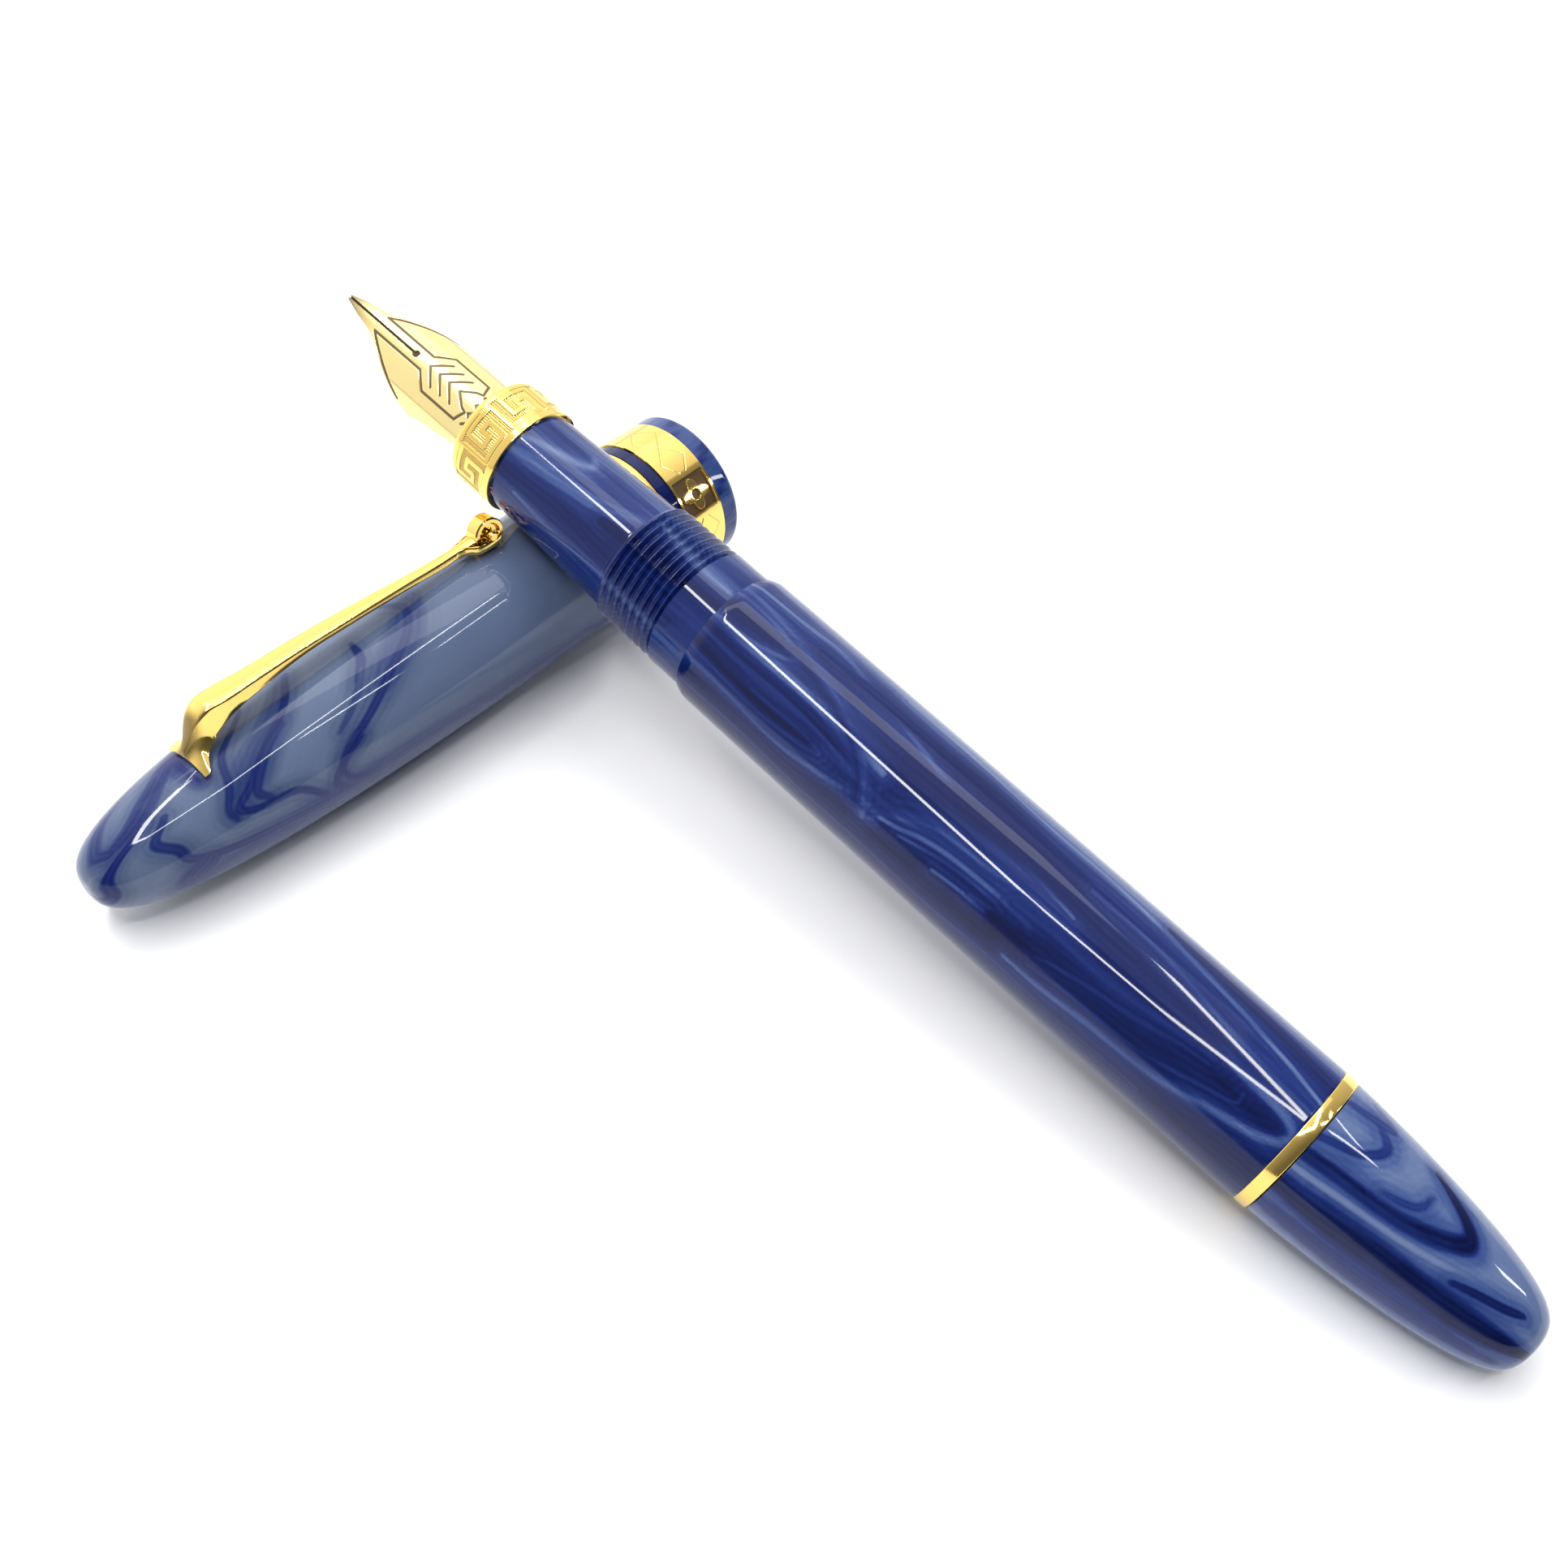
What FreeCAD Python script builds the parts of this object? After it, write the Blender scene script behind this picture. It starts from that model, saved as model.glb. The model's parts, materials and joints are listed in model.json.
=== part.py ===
import FreeCAD, Part
import math
import os

# A piston-filling fountain pen, propped across its own cap as it is laid down on a table.
# Pen stations run from the nib's point (0) to the tail. Cap stations run from the lip (0) to the crown.
# Every piece is first made about the local X axis, with local Z as its upper side, and then placed.
# Row frame: +X is the pen's heading from nib to tail seen from above, +Y is out of the cap's mouth, +Z is up.
# The origin is at the middle of the whole object's box, on the table.

# ---- the lay of the pen and the cap, millimetres and degrees ----
CROSSING_ON_PEN = 28.3
CROSSING_ON_CAP = 18.1
RESTING_GAP = 0.03
NIB_ROLL = 20.0
CLIP_ROLL = 12.0

# ---- pen, outside ----
PEN_LENGTH = 134.0
RING_FRONT = 19.3
RING_REAR = 24.36
RING_RADIUS = 5.33
RING_SEAT_RADIUS = 4.8
GRIP_FRONT_RADIUS = 4.96
GRIP_REAR_RADIUS = 5.5
THREAD_START = 38.6
THREAD_LENGTH = 6.4
THREAD_PITCH = 0.85
THREAD_CREST_RADIUS = 5.9
THREAD_SINK = 0.12
LAND_START = 45.4
LAND_RADIUS = 5.97
STEP = 49.24
STEP_RADIUS = 6.19
STEP_SHOULDER = 1.1
BARREL_FRONT_RADIUS = 6.44
BARREL_MIDDLE_RADIUS = 6.597
BARREL_REAR_RADIUS = 6.589
BARREL_END = 110.99
TRIM_END = 112.18
TRIM_RADIUS = 6.6
KNOB_RADIUS = 6.494
KNOB_POWER = 1.235
KNOB_EXPONENT = 0.2637
KNOB_GAP = 0.1

# ---- pen, inside ----
SPIGOT_END = 57.0
SPIGOT_RADIUS = 5.2
HOUSING_FRONT = 19.6
HOUSING_REAR = 34.6
HOUSING_RADIUS = 4.4
HOUSING_BORE = 3.8
INK_BORE = 3.9
CHAMBER_RADIUS = 4.6
BUSH_FRONT = 97.0
BUSH_RADIUS = 5.28
NECK_RADIUS = 5.0
NECK_END = 119.0
KNOB_SKIRT_BORE = 5.06
ROD_RADIUS = 3.0
ROD_FLAT = 2.4
ROD_FRONT = 92.5
ROD_REAR = 127.2
ROD_BORE = 1.95
SPINDLE_RADIUS = 1.9
SPINDLE_FRONT = 96.0
SPINDLE_LEAD = 5.0
SPINDLE_FLANGE = 127.4
SPINDLE_FLANGE_END = 128.2
SPINDLE_END = 131.0
SPINDLE_FLANGE_RADIUS = 3.3
SEAL_FRONT = 89.0
SLIP = 0.03
FIT = 0.02

# ---- nib and feed ----
NIB_SHELL_RADIUS = 4.5
NIB_THICKNESS = 0.3
NIB_TIP_HEIGHT = 1.6
NIB_SLOPE = 2.2
NIB_REAR = 31.0
NIB_REAR_HALF_WIDTH = 3.2
NIB_NECK_HALF_WIDTH = 3.55
NIB_SHOULDER = 12.1
NIB_SHOULDER_HALF_WIDTH = 4.3
NIB_SIDE = [(1.6, 0.7), (4.6, 1.5), (7.7, 3.1), (10.6, 4.1)]
NIB_POINT_HALF_WIDTH = 0.24
BREATHER = 9.4
BREATHER_RADIUS = 0.36
SLIT_WIDTH = 0.1
TIPPING_RADIUS = 0.3
TIPPING_CENTRE = 0.12
FEED_POINT = 4.8
FEED_REAR = 34.0
FIN_START = 11.0
FIN_COUNT = 9
FIN_PITCH = 0.85
FIN_GAP = 0.38
FIN_CORE_RADIUS = 1.9

# ---- cap ----
CAP_LENGTH = 69.63
LIP_RADIUS = 7.4
LIP_BORE = 6.1
LIP_END = 2.11
BAND_END = 6.68
BAND_FRONT_RADIUS = 7.42
BAND_REAR_RADIUS = 7.53
SPACER_END = 7.9
SPACER_RADIUS = 7.36
THIN_BAND_END = 8.8
THIN_BAND_RADIUS = 7.45
CAP_SPIGOT_RADIUS = 6.6
CAP_SPIGOT_FRONT = 1.1
TUBE_RADIUS = 6.925
TUBE_SWELL_END = 21.75
CROWN_POWER = 2.482
CROWN_EXPONENT = 0.3253
CAP_MOUTH_BORE = 6.05
CAP_MOUTH_DEPTH = 4.0
CAP_THREAD_CREST = 5.45
CAP_THREAD_END = 11.0
CAP_BORE = 5.6
INNER_CAP_FRONT = 30.0
INNER_CAP_RADIUS = 4.98
INNER_CAP_STEP = 50.0
INNER_CAP_END = 54.2
INNER_CAP_TAIL_RADIUS = 4.18
SCREW_POCKET_END = 55.6
ANCHOR_END = 60.2
ANCHOR_RADIUS = 2.6

# ---- clip ----
CLIP_PIVOT_STATION = 57.3
CLIP_PIVOT_HEIGHT = 3.0
CLIP_FOOT = (56.6, 58.2)
CLIP_FOOT_HALF_ANGLE = 29.0
CLIP_FOOT_GAP = 0.12
CLIP_FOOT_THICKNESS = 0.65
CLIP_TOP = [(58.1, 6.6), (57.9, 8.2), (56.9, 9.4), (54.8, 9.85), (50.0, 9.45), (40.0, 9.4), (31.0, 8.85),
            (27.2, 8.95)]
CLIP_UNDER = [(27.2, 8.2), (31.0, 8.1), (40.0, 8.7), (50.0, 8.5), (53.4, 7.8), (55.6, 6.55), (56.6, 6.1)]
CLIP_PLAN = [(27.2, 0.85), (30.0, 0.78), (40.0, 1.15), (50.0, 1.6), (54.5, 2.0), (58.1, 2.2)]
TANG_LENGTH = 1.2
TANG_WIDTH = 2.4
TANG_BOTTOM = 1.6
TANG_CLEARANCE = 0.25
ROLLER_STATION = 24.4
ROLLER_RADIUS = 1.6
ROLLER_WIDTH = 1.4
ROLLER_LIFT = 0.05
CHEEK_RADIUS = 1.35
CHEEK_THICKNESS = 0.5
CHEEK_GAP = 0.06
PIN_RADIUS = 0.4
PIN_HEAD_RADIUS = 0.6

ORIGIN = FreeCAD.Vector(0, 0, 0)
X_AXIS = FreeCAD.Vector(1, 0, 0)
Y_AXIS = FreeCAD.Vector(0, 1, 0)
Z_AXIS = FreeCAD.Vector(0, 0, 1)
NOSE_POINTS = 16


# ---- outlines by formula ----

def nose_radius(station, start, end, radius, power, exponent):
    """Radius of a rounded end that leaves a tube at start and closes on the axis at end."""
    along = min(1.0, max(0.0, (station - start) / (end - start)))
    return radius * (1.0 - along ** power) ** exponent


def knob_radius(station):
    return nose_radius(station, TRIM_END, PEN_LENGTH, KNOB_RADIUS, KNOB_POWER, KNOB_EXPONENT)


def barrel_radius(station):
    """The barrel's gentle swell: a parabola through its front, middle and rear radii."""
    along = (station - STEP) / (BARREL_END - STEP)
    front = BARREL_FRONT_RADIUS * (1 - along) * (1 - 2 * along)
    middle = BARREL_MIDDLE_RADIUS * 4 * along * (1 - along)
    rear = BARREL_REAR_RADIUS * along * (2 * along - 1)
    return front + middle + rear


def cap_radius(station):
    """Outside of the cap's tube: it narrows from the bands, runs almost straight and closes in the crown."""
    if station < TUBE_SWELL_END:
        along = (TUBE_SWELL_END - station) / (TUBE_SWELL_END - BAND_END)
        return TUBE_RADIUS + (BAND_REAR_RADIUS - TUBE_RADIUS) * min(1.0, along) ** 2
    return nose_radius(station, TUBE_SWELL_END, CAP_LENGTH, TUBE_RADIUS, CROWN_POWER, CROWN_EXPONENT)


def grip_radius(station):
    """The grip widens gently from the metal ring to the threads."""
    along = (station - RING_REAR) / (THREAD_START - RING_REAR)
    return GRIP_FRONT_RADIUS + (GRIP_REAR_RADIUS - GRIP_FRONT_RADIUS) * along ** 1.4


def nose_outline(start, end, radius, power, exponent):
    """Points of a rounded end, closer together towards the axis."""
    points = []
    for index in range(NOSE_POINTS):
        angle = math.pi / 2 * index / (NOSE_POINTS - 1)
        station = start + (end - start) * math.sin(angle) ** (2 / power)
        points.append((station, radius * max(0.0, math.cos(angle)) ** (2 * exponent)))
    points[-1] = (end, 0.0)
    return points


def sampled(radius_at, start, end, count):
    """Points of an outline given by a formula."""
    step = (end - start) / (count - 1)
    return [(start + step * index, radius_at(start + step * index)) for index in range(count)]


# ---- shape helpers ----

def at(point):
    return FreeCAD.Vector(point[0], 0, point[1])


def curve(points):
    """A smooth edge through (station, radius) points."""
    spline = Part.BSplineCurve()
    spline.interpolate([at(point) for point in points])
    return spline.toShape()


def outline(runs):
    """A closed wire of straight runs (two points) and smooth runs (more points)."""
    edges = []
    for run in runs:
        if len(run) > 2:
            edges.append(curve(run))
        else:
            edges.append(Part.makeLine(at(run[0]), at(run[1])))
    return Part.Wire(Part.__sortEdges__(edges))


def turned(runs):
    """A solid of revolution about X from joined runs of (station, radius) points."""
    return Part.Face(outline(runs)).revolve(ORIGIN, X_AXIS, 360)


def turned_polygon(points):
    """A solid of revolution about X from a plain polygon."""
    wire = Part.makePolygon([at(point) for point in points + points[:1]])
    return Part.Face(wire).revolve(ORIGIN, X_AXIS, 360)


def chain(points):
    """Straight runs along a list of points."""
    return [[first, second] for first, second in zip(points, points[1:])]


def rod(start, end, radius):
    return Part.makeCylinder(radius, end - start, FreeCAD.Vector(start, 0, 0), X_AXIS)


def tube(start, end, outer, inner):
    return rod(start, end, outer).cut(rod(start, end, inner))


def block(x_range, y_range, z_range):
    corner = FreeCAD.Vector(x_range[0], y_range[0], z_range[0])
    return Part.makeBox(x_range[1] - x_range[0], y_range[1] - y_range[0], z_range[1] - z_range[0], corner)


def o_ring(station, centre_radius, section_radius):
    return Part.makeTorus(centre_radius, section_radius, FreeCAD.Vector(station, 0, 0), X_AXIS)


def cut_all(shape, tools):
    for tool in tools:
        shape = shape.cut(tool)
    return shape


def thread_ridge(start, length, pitch, root_radius, crest_radius):
    """A right-hand helical ridge about X, from a root radius to a crest radius on either side of it."""
    helix = Part.makeHelix(pitch, length, root_radius)
    half = pitch * 0.46
    tip = pitch * 0.1
    corners = [
        FreeCAD.Vector(root_radius, 0, -half),
        FreeCAD.Vector(crest_radius, 0, -tip),
        FreeCAD.Vector(crest_radius, 0, tip),
        FreeCAD.Vector(root_radius, 0, half),
    ]
    profile = Part.makePolygon(corners + corners[:1])
    ridge = Part.Wire(helix.Edges).makePipeShell([profile], True, True)
    ridge.rotate(ORIGIN, Y_AXIS, 90)
    ridge.translate(FreeCAD.Vector(start, 0, 0))
    return ridge


# ---- nib group ----

def nib_frame(shape):
    """Tilts a shape made about the nib's own shell axis, so that the nib falls towards its point."""
    shape.rotate(ORIGIN, Y_AXIS, -NIB_SLOPE)
    shape.translate(FreeCAD.Vector(0, 0, NIB_TIP_HEIGHT))
    return shape


def nib_cylinder(radius):
    """A cylinder whose top line is the nib's slit, drawn in by the difference from the shell's radius."""
    axis_start = FreeCAD.Vector(-5, 0, -NIB_SHELL_RADIUS)
    return nib_frame(Part.makeCylinder(radius, 60, axis_start, X_AXIS))


def nib_plan():
    """The nib seen from above: point, swept sides, shoulders and straight body."""
    side = [(0.0, NIB_POINT_HALF_WIDTH)] + NIB_SIDE + [(NIB_SHOULDER, NIB_SHOULDER_HALF_WIDTH)]
    body = [(NIB_SHOULDER, NIB_SHOULDER_HALF_WIDTH), (RING_FRONT, NIB_NECK_HALF_WIDTH)]
    body.append((NIB_REAR, NIB_REAR_HALF_WIDTH))
    edges = []
    for sign in (1, -1):
        spline = Part.BSplineCurve()
        spline.interpolate([FreeCAD.Vector(x, sign * y, 0) for x, y in side])
        edges.append(spline.toShape())
        for first, second in zip(body, body[1:]):
            start = FreeCAD.Vector(first[0], sign * first[1], 0)
            edges.append(Part.makeLine(start, FreeCAD.Vector(second[0], sign * second[1], 0)))
    for x, half_width in ((0.0, NIB_POINT_HALF_WIDTH), (NIB_REAR, NIB_REAR_HALF_WIDTH)):
        edges.append(Part.makeLine(FreeCAD.Vector(x, -half_width, 0), FreeCAD.Vector(x, half_width, 0)))
    wire = Part.Wire(Part.__sortEdges__(edges))
    plan = Part.Face(wire).extrude(FreeCAD.Vector(0, 0, 20))
    plan.translate(FreeCAD.Vector(0, 0, -10))
    return plan


def make_nib():
    shell = nib_cylinder(NIB_SHELL_RADIUS).cut(nib_cylinder(NIB_SHELL_RADIUS - NIB_THICKNESS))
    upper_half = block((-1, NIB_REAR + 1), (-6, 6), (-2.6, 6))
    blade = shell.common(nib_plan()).common(upper_half)
    hole = Part.makeCylinder(BREATHER_RADIUS, 8, FreeCAD.Vector(BREATHER, 0, 0), Z_AXIS)
    slit = block((-1, BREATHER), (-SLIT_WIDTH / 2, SLIT_WIDTH / 2), (0, 6))
    return cut_all(blade, [hole, slit])


def make_nib_tipping():
    """The hard pellet welded under the nib's point, split by the slit."""
    centre = FreeCAD.Vector(TIPPING_CENTRE, 0, NIB_TIP_HEIGHT - NIB_THICKNESS - TIPPING_RADIUS * 0.6)
    pellet = Part.makeSphere(TIPPING_RADIUS, centre)
    slit = block((-1, 1), (-SLIT_WIDTH / 2, SLIT_WIDTH / 2), (-1, 6))
    blade = nib_cylinder(NIB_SHELL_RADIUS).cut(nib_cylinder(NIB_SHELL_RADIUS - NIB_THICKNESS))
    return cut_all(pellet, [slit, blade])


def make_feed():
    """The ink feed under the nib: a tapered, finned finger with an ink channel along its top."""
    profile = [(FEED_POINT, 0), (FEED_POINT + 0.6, 1.1), (FIN_START - 1.5, 2.5), (RING_FRONT, 3.0)]
    profile += [(HOUSING_FRONT, HOUSING_BORE - FIT), (FEED_REAR, HOUSING_BORE - FIT), (FEED_REAR, 0)]
    body = turned_polygon(profile).common(nib_cylinder(NIB_SHELL_RADIUS - NIB_THICKNESS - FIT))
    fins = []
    for index in range(FIN_COUNT):
        start = FIN_START + FIN_PITCH * index
        ring = tube(start, start + FIN_GAP, HOUSING_BORE, FIN_CORE_RADIUS)
        fins.append(ring.common(block((0, HOUSING_REAR), (-6, 6), (-6, 0.6))))
    channel = block((FEED_POINT + 3, FEED_REAR + 1), (-0.2, 0.2), (1.2, 6))
    return cut_all(body, fins + [channel])


def make_nib_housing():
    return tube(HOUSING_FRONT, HOUSING_REAR, HOUSING_RADIUS, HOUSING_BORE)


# ---- grip section ----

def make_section_ring():
    """The metal ring at the nib end of the grip, with a turned-in front lip."""
    rounding = 0.7
    corner = [(RING_FRONT, RING_RADIUS - rounding), (RING_FRONT + 0.2, RING_RADIUS - 0.2)]
    corner.append((RING_FRONT + rounding, RING_RADIUS))
    straight = [
        (RING_FRONT + rounding, RING_RADIUS),
        (RING_REAR, RING_RADIUS),
        (RING_REAR, RING_SEAT_RADIUS + FIT),
        (HOUSING_FRONT - 0.02, RING_SEAT_RADIUS + FIT),
        (HOUSING_FRONT - 0.02, HOUSING_BORE + 0.15),
        (RING_FRONT, HOUSING_BORE + 0.15),
        (RING_FRONT, RING_RADIUS - rounding),
    ]
    return turned([corner] + chain(straight))


def make_section():
    """The grip: ring seat, flared grip, cap thread, plain land and the spigot inside the barrel."""
    grip = sampled(grip_radius, RING_REAR, THREAD_START, 5)
    groove = SPIGOT_RADIUS - 0.5
    straight = [
        (THREAD_START, GRIP_REAR_RADIUS),
        (LAND_START - 0.3, GRIP_REAR_RADIUS),
        (LAND_START, LAND_RADIUS),
        (STEP, LAND_RADIUS),
        (STEP, SPIGOT_RADIUS),
        (SPIGOT_END - 2.0, SPIGOT_RADIUS),
        (SPIGOT_END - 2.0, groove),
        (SPIGOT_END - 1.2, groove),
        (SPIGOT_END - 1.2, SPIGOT_RADIUS),
        (SPIGOT_END, SPIGOT_RADIUS),
        (SPIGOT_END, INK_BORE),
        (HOUSING_REAR + FIT, INK_BORE),
        (HOUSING_REAR + FIT, HOUSING_RADIUS + FIT),
        (HOUSING_FRONT, HOUSING_RADIUS + FIT),
        (HOUSING_FRONT, RING_SEAT_RADIUS),
        (RING_REAR, RING_SEAT_RADIUS),
        (RING_REAR, GRIP_FRONT_RADIUS),
    ]
    body = turned([grip] + chain(straight))
    root = GRIP_REAR_RADIUS - THREAD_SINK
    ridge = thread_ridge(THREAD_START, THREAD_LENGTH, THREAD_PITCH, root, THREAD_CREST_RADIUS)
    return body.fuse(ridge)


def make_section_seal():
    return o_ring(SPIGOT_END - 1.6, SPIGOT_RADIUS - 0.24, 0.24)


# ---- barrel and piston ----

def make_barrel():
    """The barrel: an ink chamber in front and a wider bore behind for the piston's guide bush."""
    swell = sampled(barrel_radius, STEP + STEP_SHOULDER, BARREL_END, 7)
    shoulder = [(STEP, STEP_RADIUS), (STEP + 0.35 * STEP_SHOULDER, STEP_RADIUS + 0.17), swell[0]]
    straight = [
        (BARREL_END, BARREL_REAR_RADIUS),
        (BARREL_END, BUSH_RADIUS + FIT),
        (BUSH_FRONT, BUSH_RADIUS + FIT),
        (BUSH_FRONT, CHAMBER_RADIUS),
        (SPIGOT_END + FIT, CHAMBER_RADIUS),
        (SPIGOT_END + FIT, SPIGOT_RADIUS + FIT),
        (STEP, SPIGOT_RADIUS + FIT),
        (STEP, STEP_RADIUS),
    ]
    return turned([shoulder, swell] + chain(straight))


def make_barrel_trim_ring():
    return tube(BARREL_END, TRIM_END, TRIM_RADIUS, NECK_RADIUS + FIT)


def rod_section(start, end, radius, flat):
    """A round bar with two flats, so that it can slide but not turn."""
    return rod(start, end, radius).common(block((start, end), (-10, 10), (-flat, flat)))


def make_guide_bush():
    """The bush in the barrel's rear: its flats stop the rod from turning, and the knob turns on its neck."""
    body = rod(BUSH_FRONT + FIT, BARREL_END, BUSH_RADIUS).fuse(rod(BARREL_END, NECK_END, NECK_RADIUS))
    bore = rod_section(BUSH_FRONT, NECK_END, ROD_RADIUS + SLIP, ROD_FLAT + SLIP)
    seal_groove = tube(114.1, 114.9, NECK_RADIUS + 1, NECK_RADIUS - 0.76)
    snap_groove = tube(117.0, 117.6, NECK_RADIUS + 1, NECK_RADIUS - 0.45)
    return cut_all(body, [bore, seal_groove, snap_groove])


def make_knob_seal():
    return o_ring(114.5, NECK_RADIUS - 0.36, 0.38)


def make_knob_snap_ring():
    """A split ring in the neck's groove that keeps the knob from coming off."""
    ring = tube(117.05, 117.55, NECK_RADIUS + 0.4, NECK_RADIUS - 0.43)
    return ring.cut(block((117, 118), (-0.6, 0.6), (0, 8)))


def make_piston_knob():
    """The turning knob that ends the pen: an ogive, bored for the neck, the rod and the spindle."""
    front = TRIM_END + KNOB_GAP
    nose = nose_outline(TRIM_END, PEN_LENGTH, KNOB_RADIUS, KNOB_POWER, KNOB_EXPONENT)
    nose = [(front, knob_radius(front))] + [point for point in nose if point[0] > front + 0.3]
    straight = [
        (PEN_LENGTH, 0),
        (SPINDLE_END + 0.05, 0),
        (SPINDLE_END + 0.05, SPINDLE_RADIUS + 0.1 + FIT),
        (SPINDLE_FLANGE_END + FIT, SPINDLE_RADIUS + 0.1 + FIT),
        (SPINDLE_FLANGE_END + FIT, SPINDLE_FLANGE_RADIUS + FIT),
        (NECK_END + 0.2, SPINDLE_FLANGE_RADIUS + FIT),
        (NECK_END + 0.2, KNOB_SKIRT_BORE),
        (117.7, KNOB_SKIRT_BORE),
        (117.7, NECK_RADIUS + 0.5),
        (116.9, NECK_RADIUS + 0.5),
        (116.9, KNOB_SKIRT_BORE),
        (front, KNOB_SKIRT_BORE),
        (front, knob_radius(front)),
    ]
    return turned([nose] + chain(straight))


def make_spindle():
    """The screw that the knob turns inside the piston rod, with its helical drive groove."""
    shaft = rod(SPINDLE_FRONT, SPINDLE_FLANGE, SPINDLE_RADIUS)
    flange = rod(SPINDLE_FLANGE, SPINDLE_FLANGE_END, SPINDLE_FLANGE_RADIUS)
    stub = rod(SPINDLE_FLANGE_END, SPINDLE_END, SPINDLE_RADIUS + 0.1)
    helix = Part.makeHelix(SPINDLE_LEAD, SPINDLE_FLANGE - SPINDLE_FRONT - 3, SPINDLE_RADIUS)
    offsets = ((0.4, -0.5), (0.4, 0.5), (-0.5, 0.5), (-0.5, -0.5))
    corners = [FreeCAD.Vector(SPINDLE_RADIUS + dx, 0, dz) for dx, dz in offsets]
    groove = Part.Wire(helix.Edges).makePipeShell([Part.makePolygon(corners + corners[:1])], True, True)
    groove.rotate(ORIGIN, Y_AXIS, 90)
    groove.translate(FreeCAD.Vector(SPINDLE_FRONT + 1.5, 0, 0))
    return shaft.cut(groove).fuse([flange, stub])


def make_piston_rod():
    """The rod that slides without turning: a hollow bar with two flats and a headed stub for the seal."""
    bar = rod_section(ROD_FRONT, ROD_REAR, ROD_RADIUS, ROD_FLAT)
    stub = rod(SEAL_FRONT, ROD_FRONT, 1.6)
    head = rod(SEAL_FRONT - 0.5, SEAL_FRONT, 2.2)
    return bar.fuse([stub, head]).cut(rod(SPINDLE_FRONT - 0.6, ROD_REAR + 1, ROD_BORE))


def make_piston_seal():
    """The plunger: two lips that wipe the chamber, and a waist between them."""
    lip = CHAMBER_RADIUS - SLIP
    rear = ROD_FRONT
    waist = 3.7
    profile = [
        (SEAL_FRONT, 1.6 + FIT),
        (SEAL_FRONT, lip - 0.5),
        (SEAL_FRONT + 0.4, lip),
        (SEAL_FRONT + 0.8, lip),
        (SEAL_FRONT + 1.3, waist),
        (rear - 1.3, waist),
        (rear - 0.8, lip),
        (rear - 0.4, lip),
        (rear, lip - 0.5),
        (rear, 1.6 + FIT),
    ]
    return turned_polygon(profile)


# ---- cap ----

def make_cap_lip_ring():
    """The resin ring at the cap's mouth, with a rounded end, screwed over the tube's spigot."""
    edge = [(0.75, LIP_RADIUS), (0.22, LIP_RADIUS - 0.22), (0.0, LIP_RADIUS - 0.75)]
    straight = [
        (0.0, LIP_RADIUS - 0.75),
        (0.0, LIP_BORE + 0.2),
        (0.2, LIP_BORE),
        (CAP_SPIGOT_FRONT - FIT, LIP_BORE),
        (CAP_SPIGOT_FRONT - FIT, CAP_SPIGOT_RADIUS + FIT),
        (LIP_END, CAP_SPIGOT_RADIUS + FIT),
        (LIP_END, LIP_RADIUS),
        (0.75, LIP_RADIUS),
    ]
    return turned([edge] + chain(straight))


def cap_collar(start, end, front_radius, rear_radius):
    """A ring on the cap's spigot."""
    seat = CAP_SPIGOT_RADIUS + FIT
    return turned_polygon([(start, seat), (start, front_radius), (end, rear_radius), (end, seat)])


def make_cap_band_wide():
    return cap_collar(LIP_END, BAND_END, BAND_FRONT_RADIUS, BAND_REAR_RADIUS)


def make_cap_spacer_ring():
    return cap_collar(BAND_END, SPACER_END, SPACER_RADIUS, SPACER_RADIUS)


def make_cap_band_thin():
    return cap_collar(SPACER_END, THIN_BAND_END, THIN_BAND_RADIUS, THIN_BAND_RADIUS)


def make_cap_shell():
    """The cap's tube and crown: spigot for the bands, threaded mouth, stepped bore and the clip's slot."""
    swell = sampled(cap_radius, THIN_BAND_END, TUBE_SWELL_END, 5)
    crown = nose_outline(TUBE_SWELL_END, CAP_LENGTH, TUBE_RADIUS, CROWN_POWER, CROWN_EXPONENT)
    thread_root = CAP_THREAD_CREST + THREAD_CREST_RADIUS - GRIP_REAR_RADIUS
    straight = [
        (CAP_LENGTH, 0),
        (ANCHOR_END + FIT, 0),
        (ANCHOR_END + FIT, ANCHOR_RADIUS + FIT),
        (SCREW_POCKET_END, ANCHOR_RADIUS + FIT),
        (SCREW_POCKET_END, INNER_CAP_TAIL_RADIUS + FIT),
        (INNER_CAP_STEP + FIT, INNER_CAP_TAIL_RADIUS + FIT),
        (INNER_CAP_STEP + FIT, INNER_CAP_RADIUS + FIT),
        (INNER_CAP_FRONT, INNER_CAP_RADIUS + FIT),
        (INNER_CAP_FRONT, CAP_BORE),
        (CAP_THREAD_END, CAP_BORE),
        (CAP_THREAD_END - 0.2, thread_root),
        (CAP_MOUTH_DEPTH + 0.2, thread_root),
        (CAP_MOUTH_DEPTH, CAP_MOUTH_BORE),
        (CAP_SPIGOT_FRONT, CAP_MOUTH_BORE),
        (CAP_SPIGOT_FRONT, CAP_SPIGOT_RADIUS),
        (THIN_BAND_END, CAP_SPIGOT_RADIUS),
        (THIN_BAND_END, cap_radius(THIN_BAND_END)),
    ]
    body = turned([swell, crown] + chain(straight))
    length = CAP_THREAD_END - CAP_MOUTH_DEPTH - 1.6
    start = CAP_MOUTH_DEPTH + 0.8
    ridge = thread_ridge(start, length, THREAD_PITCH, thread_root + THREAD_SINK, CAP_THREAD_CREST)
    return body.fuse(ridge).cut(tang_slot(CLIP_PIVOT_HEIGHT - 2, 8))


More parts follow.
